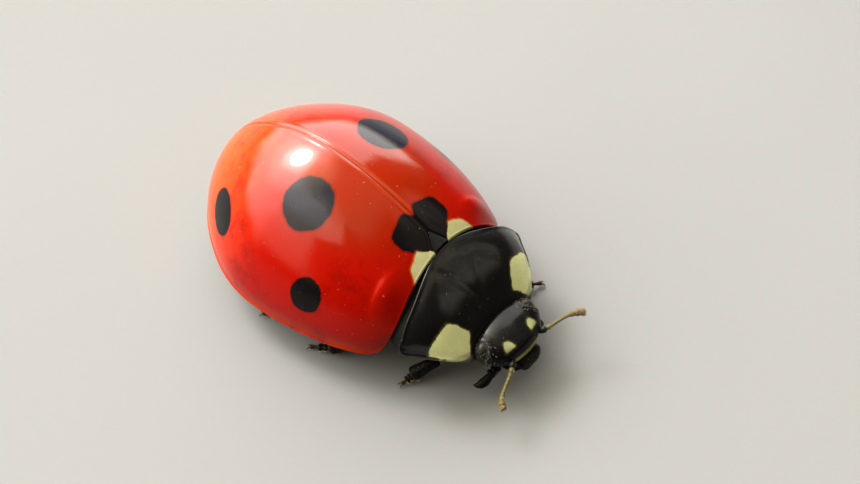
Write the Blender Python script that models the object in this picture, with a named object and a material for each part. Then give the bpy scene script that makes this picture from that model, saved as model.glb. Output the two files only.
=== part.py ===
"""A seven-spot ladybird at life size, standing on its six feet with the head to -Y.

Sizes and places are in millimetres, and MM turns them into the scene's metres.
The floor is z = 0, x = 0 is the beetle's own midline, and +X is its left side.
Shapes are laid out about the widest place of the wing cases, at y = 0, and at the
end everything is moved along Y until the beetle's box is centred on the origin.
"""

import math

import bmesh
import bpy
from mathutils import Matrix, Vector

MM = 0.001
SIDE_WORDS = {-1: "right", 1: "left"}
GAP = 0.03  # clearance between neighbouring plates
WALL = 0.5  # thickness of the wing cases

# Wing cases: one dome, split along the midline
RIM_Z = 0.80  # height of the dome's lower edge
DOME_HEIGHT = 2.57
DOME_HALF_WIDTH = 2.53
DOME_REAR = 2.95  # from the widest place back to the tip
DOME_FRONT = 3.92  # where the dome would close in front if the base did not cut it
REAR_ROUNDNESS = 1.76
FRONT_ROUNDNESS = 2.11
CROWN_ROUNDNESS = 1.80
SHOULDER_SHARPNESS = 14

# The seam between the shield and the wing cases, and the shield's front edge, from above
SEAM_Y = -2.74
SEAM_BOW = 0.075  # how fast the seam runs forward away from the midline
NECK_Y = -4.04
NECK_BOW = 0.20

# Shield behind the head
SHIELD_HIND_HALF_WIDTH = 1.78
SHIELD_FRONT_HALF_WIDTH = 0.92
SHIELD_SIDE_BULGE = 0.14
SHIELD_HIND_CROWN_Z = 2.42
SHIELD_FRONT_CROWN_Z = 1.30
SHIELD_PROFILE_BULGE = 0.25
SHIELD_HIND_EDGE_Z = 1.22
SHIELD_FRONT_EDGE_Z = 1.04
SHIELD_EDGE_RISE = 0.12  # how far the side edge arches up half-way along
SHIELD_ARCH = 1.75
SHIELD_WALL = 0.50
SHIELD_EDGE_WALL = 0.30
SHIELD_EDGE_DROP = 0.12

# Underside
WAIST_Y = -0.62  # where the thorax meets the abdomen
BREAST_Z = 0.80  # underside below the shield
BREAST_RISE = 0.10
SCUTELLUM_HALF_WIDTH = 0.20
SCUTELLUM_LENGTH = 0.34

# Head
HEAD_CENTRE = Vector((0, -4.30, 1.00))
HEAD_HALF = Vector((0.80, 0.58, 0.37))
HEAD_BOXINESS = 2.2
EYE_CENTRE = Vector((0.63, -4.27, 1.04))
EYE_HALF = Vector((0.22, 0.24, 0.25))
EYE_TURN = math.radians(22)
LABRUM_CENTRE = Vector((0, -4.88, 0.72))
LABRUM_HALF = Vector((0.34, 0.17, 0.17))
JAW_CENTRE = Vector((0.17, -4.62, 0.42))
JAW_HALF = Vector((0.15, 0.24, 0.13))

# Limbs, all about half a millimetre thick
SIDES = 10
CAP_RINGS = 3
CAP_TIP = 0.2  # how much of the last step of a round end stays flat
FEMUR_RADII = (0.23, 0.26)
TIBIA_RADII = (0.25, 0.23)
FOOT_RADII = (0.23, 0.24)
FEELER_RADII = (0.22, 0.26)
FEELER_STEPS = 5
PALP_RADII = (0.21, 0.26)

# Each leg's hip, knee, ankle and toe
LEGS = {
    "front_right": ((-0.42, -3.16, 0.50), (-1.06, -3.52, 0.50), (-1.50, -3.20, 0.27), (-1.72, -3.12, 0.20)),
    "front_left": ((0.42, -3.16, 0.50), (1.06, -3.62, 0.50), (1.50, -3.54, 0.30), (1.88, -3.76, 0.20)),
    "middle_right": ((-0.48, -1.72, 0.50), (-1.70, -2.12, 0.50), (-2.02, -1.54, 0.27), (-2.20, -1.16, 0.20)),
    "middle_left": ((0.48, -1.72, 0.50), (1.74, -1.92, 0.50), (2.02, -1.24, 0.27), (2.20, -0.78, 0.20)),
    "hind_right": ((-0.50, -0.62, 0.50), (-1.62, -0.78, 0.50), (-2.02, -0.30, 0.27), (-2.20, 0.10, 0.20)),
    "hind_left": ((0.50, -0.60, 0.50), (1.62, -0.36, 0.50), (1.96, 0.36, 0.27), (2.10, 0.88, 0.20)),
}

# Feelers from the face to the tip, and palps from under the cheek
FEELERS = {
    "right": ((-0.38, -4.76, 0.98), (-0.58, -5.06, 0.94), (-1.14, -4.94, 0.76), (-1.24, -5.28, 0.69)),
    "left": ((0.44, -4.76, 0.98), (0.66, -5.00, 1.02), (1.06, -4.90, 1.12), (1.36, -5.25, 1.02)),
}
PALPS = {
    "right": ((-0.58, -4.50, 0.46), (-1.02, -4.38, 0.34)),
    "left": ((0.58, -4.50, 0.46), (1.02, -4.40, 0.34)),
}

COLOURS = {
    "wing_red": (0.62, 0.035, 0.008, 0.16),
    "shield_black": (0.012, 0.011, 0.012, 0.22),
    "body_black": (0.012, 0.011, 0.010, 0.40),
    "eye_black": (0.010, 0.009, 0.009, 0.20),
    "leg_black": (0.016, 0.013, 0.012, 0.35),
    "feeler_brown": (0.36, 0.19, 0.07, 0.45),
}


# Tools

def clear_scene():
    for obj in list(bpy.data.objects):
        bpy.data.objects.remove(obj)


def material(name):
    red, green, blue, roughness = COLOURS[name]
    made = bpy.data.materials.get(name) or bpy.data.materials.new(name)
    made.use_nodes = True
    shader = made.node_tree.nodes["Principled BSDF"]
    shader.inputs["Base Color"].default_value = (red, green, blue, 1)
    shader.inputs["Roughness"].default_value = roughness
    shader.inputs["Metallic"].default_value = 0
    return made


def make(bm, name, colour):
    """Turns a bmesh in millimetres into a named object in metres."""
    bmesh.ops.remove_doubles(bm, verts=bm.verts, dist=1e-4)
    bmesh.ops.recalc_face_normals(bm, faces=bm.faces)
    bmesh.ops.scale(bm, vec=(MM, MM, MM), verts=bm.verts)
    mesh = bpy.data.meshes.new(name)
    bm.to_mesh(mesh)
    bm.free()
    mesh.shade_smooth()
    mesh.set_sharp_from_angle(angle=math.radians(50))
    mesh.materials.append(material(colour))
    obj = bpy.data.objects.new(name, mesh)
    bpy.context.scene.collection.objects.link(obj)
    return obj


def blend(a, b, share):
    return a + (b - a) * share


def slab(upper, lower, steps_u, steps_v):
    """A closed sheet between two surfaces, each a function of u and v from 0 to 1."""
    bm = bmesh.new()
    grids = []
    for surface in (upper, lower):
        grids.append([[bm.verts.new(surface(i / steps_u, j / steps_v)) for j in range(steps_v + 1)]
                      for i in range(steps_u + 1)])
    for grid in grids:
        for i in range(steps_u):
            for j in range(steps_v):
                bm.faces.new((grid[i][j], grid[i + 1][j], grid[i + 1][j + 1], grid[i][j + 1]))
    top, bottom = grids
    edge = [(i, 0) for i in range(steps_u)] + [(steps_u, j) for j in range(steps_v)]
    edge += [(i, steps_v) for i in range(steps_u, 0, -1)] + [(0, j) for j in range(steps_v, 0, -1)]
    for (a, b), (c, d) in zip(edge, edge[1:] + edge[:1]):
        bm.faces.new((top[a][b], top[c][d], bottom[c][d], bottom[a][b]))
    return bm


def loft(rings):
    """A closed solid through rings of points, with a flat lid on the first and the last."""
    bm = bmesh.new()
    rows = [[bm.verts.new(point) for point in ring] for ring in rings]
    for row, following in zip(rows, rows[1:]):
        for i in range(len(row)):
            j = (i + 1) % len(row)
            bm.faces.new((row[i], row[j], following[j], following[i]))
    bm.faces.new(reversed(rows[0]))
    bm.faces.new(rows[-1])
    return bm


def keep_side(bm, point, outward):
    """Cuts the solid by a plane and drops the part that the outward arrow points to."""
    parts = bm.verts[:] + bm.edges[:] + bm.faces[:]
    cut = bmesh.ops.bisect_plane(bm, geom=parts, dist=1e-5, plane_co=point, plane_no=outward,
                                 clear_outer=True)
    rim = [item for item in cut["geom_cut"] if isinstance(item, bmesh.types.BMEdge)]
    bmesh.ops.holes_fill(bm, edges=rim, sides=0)


def hollow(obj, cutter):
    """Takes the cutter's shape out of the object."""
    cutter.hide_render = True
    cutter.display_type = "WIRE"
    boolean = obj.modifiers.new(f"clear of {cutter.name}", "BOOLEAN")
    boolean.operation = "DIFFERENCE"
    boolean.solver = "EXACT"
    boolean.object = cutter


def oval(centre, half, boxiness=2.0, turn=0.0, grow=0.0, segments=20, rings=12):
    """A rounded block: an ellipsoid for a boxiness of 2, squarer above that."""
    bm = bmesh.new()
    bmesh.ops.create_uvsphere(bm, u_segments=segments, v_segments=rings, radius=1)
    for vert in bm.verts:
        length = sum(abs(value) ** boxiness for value in vert.co) ** (1 / boxiness)
        unit = vert.co / length
        vert.co = Vector((unit.x * (half.x + grow), unit.y * (half.y + grow), unit.z * (half.z + grow)))
    place = Matrix.Translation(centre) @ Matrix.Rotation(turn, 4, "Z")
    bmesh.ops.transform(bm, matrix=place, verts=bm.verts)
    return bm


def ring_round(centre, direction, radius):
    frame = direction.to_track_quat("Z", "Y").to_matrix()
    turn = [2 * math.pi * i / SIDES for i in range(SIDES)]
    return [centre + frame @ Vector((math.cos(a) * radius, math.sin(a) * radius, 0)) for a in turn]


def round_end(centre, direction, radius, closing):
    """The rings of a rounded end; closing runs from the full ring out to the tip."""
    rings = []
    for i in range(1, CAP_RINGS + 1):
        angle = math.pi / 2 * (i - CAP_TIP) / CAP_RINGS
        reach = direction * math.sin(angle) * radius * (1 if closing else -1)
        rings.append(ring_round(centre + reach, direction, math.cos(angle) * radius))
    return rings if closing else rings[::-1]


def limb(points, radii):
    """A tapered tube with round ends along a row of points."""
    points = [Vector(point) for point in points]
    runs = [(b - a).normalized() for a, b in zip(points, points[1:])]
    rings = round_end(points[0], runs[0], radii[0], False)
    for i, point in enumerate(points):
        before = runs[max(i - 1, 0)]
        after = runs[min(i, len(runs) - 1)]
        radius = blend(radii[0], radii[1], i / (len(points) - 1))
        rings.append(ring_round(point, (before + after).normalized(), radius))
    rings += round_end(points[-1], runs[-1], radii[1], True)
    return loft(rings)


def smooth_path(corners, steps):
    """Points along a Bezier curve pulled by the corners."""
    path = []
    for i in range(steps + 1):
        level = [Vector(corner) for corner in corners]
        while len(level) > 1:
            level = [blend(a, b, i / steps) for a, b in zip(level, level[1:])]
        path.append(level[0])
    return path


# The lines that part the body, seen from above

def seam_y(x):
    return SEAM_Y - SEAM_BOW * x * x


def neck_y(x):
    return NECK_Y - NECK_BOW * x * x


def neck_cutter():
    """A tall block that fills everything behind the neck line, less the clearance."""
    reach = DOME_HALF_WIDTH
    steps = 16
    xs = [blend(-reach, reach, i / steps) for i in range(steps + 1)]
    outline = [(x, neck_y(x) - GAP) for x in xs] + [(reach, 0), (-reach, 0)]
    rings = [[Vector((x, y, z)) for x, y in outline] for z in (-RIM_Z, RIM_Z + DOME_HEIGHT)]
    return make(loft(rings), "behind_neck", "body_black")


# Wing cases and the body under them

def outline_point(angle, inset):
    """The dome's edge from above; the angle is 0 at the left, 90 degrees behind and -90 in front."""
    behind = math.sin(angle) > 0
    power = 2 / (REAR_ROUNDNESS if behind else FRONT_ROUNDNESS)
    length = (DOME_REAR if behind else DOME_FRONT) - inset
    across = (DOME_HALF_WIDTH - inset) * abs(math.cos(angle)) ** power
    along = length * abs(math.sin(angle)) ** power
    return math.copysign(across, math.cos(angle)), along if behind else -along


def seam_share(across, along):
    """The share of the way from the middle to an outline point at which the seam is met."""
    reach = -(SEAM_Y + GAP / 2)
    inside_root = along * along - 4 * SEAM_BOW * across * across * reach
    if along >= 0 or inside_root <= 0:
        return DOME_FRONT
    return 2 * reach / (-along + math.sqrt(inside_root))


def dome_point(angle, v, inset):
    """A point on the dome, or on one inset by a thickness; v is 0 at the crown and 1 at the edge."""
    across, along = outline_point(angle, inset)
    share = (1 + seam_share(across, along) ** -SHOULDER_SHARPNESS) ** (-1 / SHOULDER_SHARPNESS)
    slope = math.asin(min(1, share ** (CROWN_ROUNDNESS / 2))) * v
    radius = math.sin(slope) ** (2 / CROWN_ROUNDNESS)
    height = (DOME_HEIGHT - inset) * max(0, math.cos(slope)) ** (2 / CROWN_ROUNDNESS)
    return Vector((across * radius, along * radius, RIM_Z + height))


def dome_height(y):
    """The dome's height over the floor on the midline, in front of the crown."""
    share = abs(y) / DOME_FRONT
    return RIM_Z + DOME_HEIGHT * (1 - share ** CROWN_ROUNDNESS) ** (1 / CROWN_ROUNDNESS)


def wing_case(side, name):
    def surface(inset):
        def at(u, v):
            point = dome_point(blend(-math.pi / 2, math.pi / 2, u), v, inset)
            return Vector((max(point.x, GAP / 2) * side, point.y, point.z))
        return at
    return make(slab(surface(0), surface(WALL), 28, 11), name, "wing_red")


def scutellum_block(grow, top, bottom):
    """A small triangle at the head of the wing cases' seam, pointing back."""
    front = SEAM_Y + GAP / 2 - grow
    tip = SEAM_Y + SCUTELLUM_LENGTH + grow * 2
    half_width = SCUTELLUM_HALF_WIDTH + grow * 2
    corners = ((-half_width, front), (half_width, front), (0, tip))
    return loft([[Vector((x, y, height(y))) for x, y in corners] for height in (bottom, top)])


def trunk_part(name, front):
    """The body under the wing cases, on one side of the waist."""
    steps_round = 40
    steps_down = 8
    inset = WALL + GAP
    turn = [2 * math.pi * i / steps_round for i in range(steps_round)]
    rings = [[dome_point(angle, (i + 1) / steps_down, inset) for angle in turn] for i in range(steps_down)]
    rings.append([Vector((point.x, point.y, RIM_Z)) for point in rings[-1]])
    bm = loft(rings)
    bmesh.ops.remove_doubles(bm, verts=bm.verts, dist=1e-4)
    direction = 1 if front else -1
    keep_side(bm, Vector((0, WAIST_Y - direction * GAP / 2, 0)), Vector((0, direction, 0)))
    return make(bm, name, "body_black")


# Shield and the body under it

def shield_frame(u, v):
    """Half width, distance along, arch, and the crown's and the side edge's height at u and v."""
    angle = blend(-math.pi / 2, math.pi / 2, u)
    across = math.sin(angle)
    swell = math.sin(math.pi * v)
    half_width = blend(SHIELD_HIND_HALF_WIDTH, SHIELD_FRONT_HALF_WIDTH, v) + SHIELD_SIDE_BULGE * swell
    hind = seam_y(across * SHIELD_HIND_HALF_WIDTH) - GAP / 2
    y = blend(hind, neck_y(across * SHIELD_FRONT_HALF_WIDTH), v)
    arch = math.cos(angle) ** (2 / SHIELD_ARCH)
    crown = blend(SHIELD_HIND_CROWN_Z, SHIELD_FRONT_CROWN_Z, v) + SHIELD_PROFILE_BULGE * swell
    edge = blend(SHIELD_HIND_EDGE_Z, SHIELD_FRONT_EDGE_Z, v) + SHIELD_EDGE_RISE * swell
    return across, half_width, y, arch, crown, edge


def shield_surface(inset, drop, edge_drop):
    def at(u, v):
        across, half_width, y, arch, crown, edge = shield_frame(u, v)
        low = edge - edge_drop
        return Vector((across * (half_width - inset), y, blend(low, crown - drop, arch)))
    return at


def breast_surface(u, v):
    across, half_width, y, _, _, _ = shield_frame(u, v)
    x = across * (half_width - SHIELD_EDGE_WALL - GAP)
    return Vector((x, y, BREAST_Z + BREAST_RISE * abs(across) ** 3))


def shield():
    inner = shield_surface(SHIELD_EDGE_WALL, SHIELD_WALL, SHIELD_EDGE_DROP)
    return make(slab(shield_surface(0, 0, 0), inner, 20, 8), "pronotum", "shield_black")


def breast():
    top = shield_surface(SHIELD_EDGE_WALL + GAP, SHIELD_WALL + GAP, SHIELD_EDGE_DROP + GAP)
    return make(slab(top, breast_surface, 14, 4), "prosternum", "body_black")


# Head

def head_shape(grow):
    return oval(HEAD_CENTRE, HEAD_HALF, HEAD_BOXINESS, grow=grow)


def eye_shape(side, grow):
    centre = Vector((EYE_CENTRE.x * side, EYE_CENTRE.y, EYE_CENTRE.z))
    return oval(centre, EYE_HALF, turn=EYE_TURN * side, grow=grow, segments=14, rings=9)


def head_and_eyes(behind_neck):
    head = make(head_shape(0), "head", "shield_black")
    hollow(head, behind_neck)
    for side, word in SIDE_WORDS.items():
        hollow(head, make(eye_shape(side, GAP), f"socket_{word}", "eye_black"))
        hollow(make(eye_shape(side, 0), f"eye_{word}", "eye_black"), behind_neck)


def mouth(head_room):
    labrum = make(oval(LABRUM_CENTRE, LABRUM_HALF, segments=14, rings=8), "labrum", "shield_black")
    hollow(labrum, head_room)
    for side, word in SIDE_WORDS.items():
        centre = Vector((JAW_CENTRE.x * side, JAW_CENTRE.y, JAW_CENTRE.z))
        jaw = make(oval(centre, JAW_HALF, segments=12, rings=7), f"mandible_{word}", "body_black")
        hollow(jaw, head_room)
        palp = make(limb(PALPS[word], PALP_RADII), f"palp_{word}", "leg_black")
        hollow(palp, head_room)


def feelers(head_room):
    for word, corners in FEELERS.items():
        feeler = limb(smooth_path(corners, FEELER_STEPS), FEELER_RADII)
        hollow(make(feeler, f"antenna_{word}", "feeler_brown"), head_room)


# Legs

def fold_arrow(joint, before, after):
    """Square to the plane that halves the bend at a joint, pointing at what comes after it."""
    return ((after - joint).normalized() - (before - joint).normalized()).normalized()


def leg(name, joints):
    hip, knee, ankle, toe = (Vector(joint) for joint in joints)
    knee_arrow = fold_arrow(knee, hip, ankle)
    ankle_arrow = fold_arrow(ankle, knee, toe)
    femur = limb((hip, knee), FEMUR_RADII)
    keep_side(femur, knee - knee_arrow * GAP / 2, knee_arrow)
    make(femur, f"leg_{name}_femur", "leg_black")
    tibia = limb((knee, ankle), TIBIA_RADII)
    keep_side(tibia, knee + knee_arrow * GAP / 2, -knee_arrow)
    keep_side(tibia, ankle - ankle_arrow * GAP / 2, ankle_arrow)
    make(tibia, f"leg_{name}_tibia", "leg_black")
    foot = limb((ankle, toe), FOOT_RADII)
    keep_side(foot, ankle + ankle_arrow * GAP / 2, -ankle_arrow)
    keep_side(foot, Vector((0, 0, 0)), Vector((0, 0, -1)))
    make(foot, f"leg_{name}_foot", "leg_black")


def centre_along_y():
    """Moves everything along Y so that the beetle's box is centred on the origin."""
    meshes = [obj.data for obj in bpy.data.objects]
    ys = [vert.co.y for obj in bpy.data.objects if not obj.hide_render for vert in obj.data.vertices]
    middle = (min(ys) + max(ys)) / 2
    for mesh in meshes:
        mesh.transform(Matrix.Translation((0, -middle, 0)))


def ladybird():
    clear_scene()
    room = scutellum_block(GAP, lambda y: RIM_Z + DOME_HEIGHT, lambda y: RIM_Z)
    scutellum_room = make(room, "scutellum_room", "wing_red")
    for side, word in SIDE_WORDS.items():
        hollow(wing_case(side, f"elytron_{word}"), scutellum_room)
    make(scutellum_block(0, dome_height, lambda y: dome_height(y) - WALL), "scutellum", "shield_black")
    trunk_part("thorax", True)
    trunk_part("abdomen", False)
    shield()
    breast()
    behind_neck = neck_cutter()
    head_room = make(head_shape(GAP), "head_room", "body_black")
    head_and_eyes(behind_neck)
    mouth(head_room)
    feelers(head_room)
    for name, joints in LEGS.items():
        leg(name, joints)
    centre_along_y()


ladybird()
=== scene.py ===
"""Looks of a seven-spot ladybird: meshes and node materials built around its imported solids.

Shapes are worked out in millimetres, with y = 0 at the widest place of the wing cases, the
head to -Y, x = 0 on the midline and the beetle's left at +X. place() turns them into the
frame's metres. Each material reads the same millimetre places from object coordinates.
"""

import math

import bmesh
import bpy
import numpy as np
from bpy.props import FloatProperty, FloatVectorProperty, IntProperty, PointerProperty
from mathutils import Matrix, Vector, noise

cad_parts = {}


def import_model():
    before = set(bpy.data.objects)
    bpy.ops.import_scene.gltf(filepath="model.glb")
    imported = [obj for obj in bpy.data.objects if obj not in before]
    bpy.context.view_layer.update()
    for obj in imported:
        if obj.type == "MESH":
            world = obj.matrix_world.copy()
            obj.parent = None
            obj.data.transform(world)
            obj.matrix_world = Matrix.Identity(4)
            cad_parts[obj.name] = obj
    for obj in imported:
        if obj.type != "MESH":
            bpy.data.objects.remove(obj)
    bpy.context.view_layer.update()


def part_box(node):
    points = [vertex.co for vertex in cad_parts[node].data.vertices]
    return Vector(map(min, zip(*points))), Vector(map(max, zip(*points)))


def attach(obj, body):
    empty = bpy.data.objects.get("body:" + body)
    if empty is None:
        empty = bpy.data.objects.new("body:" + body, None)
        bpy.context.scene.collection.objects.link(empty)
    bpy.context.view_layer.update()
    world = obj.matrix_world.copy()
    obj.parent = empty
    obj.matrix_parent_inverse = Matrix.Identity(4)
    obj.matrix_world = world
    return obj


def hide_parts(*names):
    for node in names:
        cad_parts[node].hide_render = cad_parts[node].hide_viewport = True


bl_info = {
    "name": "Seven-spot ladybird",
    "version": (1, 0, 0),
    "blender": (4, 5, 0),
    "location": "3D View > Sidebar > Ladybird",
    "description": "Builds a life-size ladybird piece by piece, with its finishes, light and camera",
    "category": "Add Mesh",
}

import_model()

MM = 0.001
BODY = "root"
SIDES = {"right": -1, "left": 1}

# Wing cases: one dome over both, cut by the line of the shield
DOME_HALF_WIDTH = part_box("elytron_left")[1].x / MM
DOME_REAR = 2.95
DOME_FRONT = 3.92
RIM_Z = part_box("elytron_left")[0].z / MM
DOME_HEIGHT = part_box("elytron_left")[1].z / MM - RIM_Z
WIDEST_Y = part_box("elytron_left")[1].y / MM - DOME_REAR
REAR_ROUNDNESS = 1.76
FRONT_ROUNDNESS = 2.11
CROWN_ROUNDNESS = 1.80
SEAM_Y = -2.74
SEAM_BOW = 0.075
SHOULDER_ANGLE = math.radians(-46)
TAIL_ANGLE = math.radians(60)
SCUTELLUM_HALF_WIDTH = 0.20
SCUTELLUM_LENGTH = 0.34

# Shield
NECK_Y = -4.04
NECK_BOW = 0.20
SHIELD_HIND_HALF_WIDTH = 1.78
SHIELD_FRONT_HALF_WIDTH = 0.92
SHIELD_SIDE_BULGE = 0.14
SHIELD_CROWN = (2.42, 1.30)
SHIELD_EDGE = (1.22, 1.04)
SHIELD_PROFILE_BULGE = 0.25
SHIELD_EDGE_RISE = 0.12
SHIELD_ARCH = 1.75
SHIELD_HIND_SWEEP = 0.33
SHIELD_HIND_REACH = 1.60

# Head
HEAD_CENTRE = np.array((0, -4.30, 1.00))
HEAD_HALF = np.array((0.80, 0.58, 0.37))
HEAD_BOXINESS = 2.2
EYE_CENTRE = np.array((0.63, -4.27, 1.04))
EYE_HALF = np.array((0.22, 0.24, 0.25))
EYE_TURN = math.radians(22)
LIP_CENTRE = np.array((0, -4.88, 0.72))
LIP_HALF = np.array((0.34, 0.17, 0.17))

# Underside
WAIST_Y = -0.62

# Limbs: hip, knee, ankle and toe of each leg; pull points of each feeler; ends of each palp
LEGS = {
    "front_right": ((-0.42, -3.16, 0.50), (-1.06, -3.52, 0.50), (-1.50, -3.20, 0.27), (-1.72, -3.12, 0.20)),
    "front_left": ((0.42, -3.16, 0.50), (1.06, -3.62, 0.50), (1.50, -3.54, 0.30), (1.88, -3.76, 0.20)),
    "middle_right": ((-0.48, -1.72, 0.50), (-1.70, -2.12, 0.50), (-2.02, -1.54, 0.27), (-2.20, -1.16, 0.20)),
    "middle_left": ((0.48, -1.72, 0.50), (1.74, -1.92, 0.50), (2.02, -1.24, 0.27), (2.20, -0.78, 0.20)),
    "hind_right": ((-0.50, -0.62, 0.50), (-1.62, -0.78, 0.50), (-2.02, -0.30, 0.27), (-2.20, 0.10, 0.20)),
    "hind_left": ((0.50, -0.60, 0.50), (1.62, -0.36, 0.50), (1.96, 0.36, 0.27), (2.10, 0.88, 0.20)),
}
FEELERS = {
    "right": ((-0.38, -4.76, 0.98), (-0.58, -5.06, 0.94), (-1.14, -4.94, 0.76), (-1.24, -5.28, 0.69)),
    "left": ((0.44, -4.76, 0.98), (0.66, -5.00, 1.02), (1.06, -4.90, 1.12), (1.36, -5.25, 1.02)),
}
PALPS = {
    "right": ((-0.46, -4.52, 0.58), (-1.02, -4.38, 0.36)),
    "left": ((0.46, -4.52, 0.58), (1.02, -4.40, 0.36)),
}


# Settings

def size(name, description, default):
    return FloatProperty(name=name, description=description, default=default, min=0, unit="LENGTH",
                         subtype="DISTANCE", precision=5)


def share(name, description, default, highest=1.0):
    return FloatProperty(name=name, description=description, default=default, min=0, max=highest,
                         subtype="FACTOR")


def angle(name, description, degrees):
    return FloatProperty(name=name, description=description, default=math.radians(degrees), subtype="ANGLE",
                         unit="ROTATION")


def colour(name, description, default):
    return FloatVectorProperty(name=name, description=description, default=default, size=3, min=0, max=1,
                               subtype="COLOR")


class LadybirdWingSettings(bpy.types.PropertyGroup):
    shell_thickness: size("Shell thickness", "Thickness of a wing case", 0.00012)
    seam_depth: size("Seam depth", "How deep the groove between the wing cases is", 0.000016)
    shoulder_bump: size("Shoulder bump", "Height of the bump on each shoulder", 0.00005)
    unevenness: size("Unevenness", "How far the lacquered surface strays from its true dome", 0.000006)
    # darker than the rear red: the darkness is painted shade, the light coming from behind
    shaded_front_red: colour("Front red", "Colour near the shield", (0.28, 0.0022, 0.0003))
    rear_red: colour("Rear red", "Colour towards the tail and the rim", (0.55, 0.052, 0.0004))
    black: colour("Spot black", "Colour of the spots", (0.0020, 0.0020, 0.0030))
    cream: colour("Cream", "Colour of the two marks beside the shield", (0.40, 0.365, 0.21))
    gloss: share("Lacquer", "Weight of the clear coat", 1.0)


class LadybirdShieldSettings(bpy.types.PropertyGroup):
    plate_thickness: size("Plate thickness", "Thickness of the shield", 0.00014)
    rim_height: size("Rim height", "How far the bead round the shield stands up", 0.000012)
    black: colour("Black", "Colour of the shield and head", (0.0015, 0.0015, 0.0018))
    cream: colour("Cream", "Colour of the corner patches and the face marks", (0.64, 0.655, 0.325))
    pit_depth: size("Pit depth", "Depth of the fine pits in the shield and head", 0.000003)


class LadybirdHeadSettings(bpy.types.PropertyGroup):
    rim_round_eye: size("Eye rim", "Height of the swelling round each eye", 0.000035)
    lens_height: size("Lens height", "How far each lens of the eyes stands out", 0.000003)
    eye: colour("Eye", "Colour of the eyes", (0.0030, 0.0028, 0.0030))


class LadybirdLimbSettings(bpy.types.PropertyGroup):
    thigh: size("Thigh", "Half the width of the thick part of each leg", 0.00016)
    shin: size("Shin", "Half the width of the slender part of each leg", 0.000125)
    feeler: size("Feeler", "Half the width of the stalk of each feeler", 0.000042)
    black: colour("Leg black", "Colour of the legs and palps", (0.0018, 0.0016, 0.0015))
    brown: colour("Foot brown", "Colour of the feet and the leg joints", (0.10, 0.045, 0.018))
    feeler_gold: colour("Feeler gold", "Colour of the feelers' stalks", (0.135, 0.108, 0.024))
    feeler_dark: colour("Feeler dark", "Colour of the feelers' clubs", (0.105, 0.058, 0.006))


class LadybirdHairSettings(bpy.types.PropertyGroup):
    length: size("Hair length", "Length of a hair on the side of the head", 0.000045)
    thickness: size("Hair thickness", "Width of a hair at its root", 0.0000036)
    seed: IntProperty(name="Seed", description="Start of the random draws for the hairs", default=7, min=0)
    pale: colour("Pale hair", "Colour of the hairs", (0.19, 0.175, 0.125))


class LadybirdStageSettings(bpy.types.PropertyGroup):
    floor: colour("Floor", "Colour of the floor", (0.180, 0.180, 0.184))
    azimuth: angle("Azimuth", "Where the camera stands round the beetle; 0 looks along +Y", -49.79)
    elevation: angle("Elevation", "The camera's height over the horizon", 54.06)
    roll: angle("Roll", "Turn of the picture", -0.93)
    distance: size("Distance", "From the camera to the point it looks at", 0.04235)
    lens: FloatProperty(name="Lens", description="Focal length", default=90, min=1, unit="CAMERA")
    sky: share("Sky", "Strength of the light from all round", 0.08, 10)
    panel: share("Panel", "Brightness of the wide soft light behind the beetle", 5.9, 50)
    glow: share("Glow", "Extra brightness round the lamp", 6.0, 50)
    fill: share("Fill", "Brightness of the weak light in front", 1.2, 50)
    lamp: share("Lamp", "Brightness of the small light behind the beetle", 28, 500)


# Tools for shapes

def place(points):
    """Millimetre places in the beetle's own layout, as metres in the frame."""
    return (np.asarray(points, float) + (0, WIDEST_Y, 0)) * MM


def blend(first, second, amount):
    return first + (second - first) * amount


def ease(value, low, high):
    """0 below low, 1 above high, and a smooth step between; low may be above high."""
    amount = np.clip((np.asarray(value, float) - low) / (high - low), 0, 1)
    return amount * amount * (3 - 2 * amount)


def bump(distance, width):
    return np.exp(-(np.asarray(distance, float) / width) ** 2)


def unit(vectors):
    vectors = np.asarray(vectors, float)
    return vectors / np.maximum(np.linalg.norm(vectors, axis=-1, keepdims=True), 1e-12)


def wander(points, size_mm, seed):
    """A smooth random value from about -1 to 1 at each place, with waves of about the given size."""
    flat = np.asarray(points, float).reshape(-1, 3)
    values = [noise.noise(Vector(point / size_mm) + Vector((seed, seed, seed))) for point in flat]
    return np.array(values).reshape(np.shape(points)[:-1])


def spread(count, at_start, at_end):
    """Values from 0 to 1, packed closer at either end by the given amounts."""
    fine = np.linspace(0, 1, 2000)
    reach = 0.05  # the share of the way over which the packing eases off
    density = 1 + at_start * np.exp(-fine / reach) + at_end * np.exp(-(1 - fine) / reach)
    total = np.concatenate([[0], np.cumsum((density[1:] + density[:-1]) / 2)])
    return np.interp(np.linspace(0, total[-1], count), total, fine)


def oval_reach(cosine, sine, power):
    """How far a round outline of unit size reaches each way; a power over 2 makes it boxier."""
    return (np.abs(cosine) ** power + np.abs(sine) ** power) ** (-1 / power)


def grid_faces(numbers):
    """The quads between the vertex numbers of a grid."""
    rows, columns = numbers.shape
    return [(numbers[i, j], numbers[i + 1, j], numbers[i + 1, j + 1], numbers[i, j + 1])
            for i in range(rows - 1) for j in range(columns - 1)]


def tube_faces(numbers):
    """The quads between rings of vertex numbers, each ring closed on itself."""
    rings, sides = numbers.shape
    return [(numbers[i, j], numbers[i, (j + 1) % sides], numbers[i + 1, (j + 1) % sides], numbers[i + 1, j])
            for i in range(rings - 1) for j in range(sides)]


def edge_path(rows, columns, closed=True):
    """The keys along a grid's sides from its first corner, all round or up to the last side."""
    path = [(0, j) for j in range(columns)] + [(i, columns - 1) for i in range(1, rows)]
    path += [(rows - 1, j) for j in range(columns - 2, -1, -1)]
    return path + [(i, 0) for i in range(rows - 2, 0, -1)] * closed


def level_sideways(ahead):
    """Level directions to the right of level ones."""
    return np.stack([ahead[:, 1], -ahead[:, 0], np.zeros(len(ahead))], axis=-1)


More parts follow.
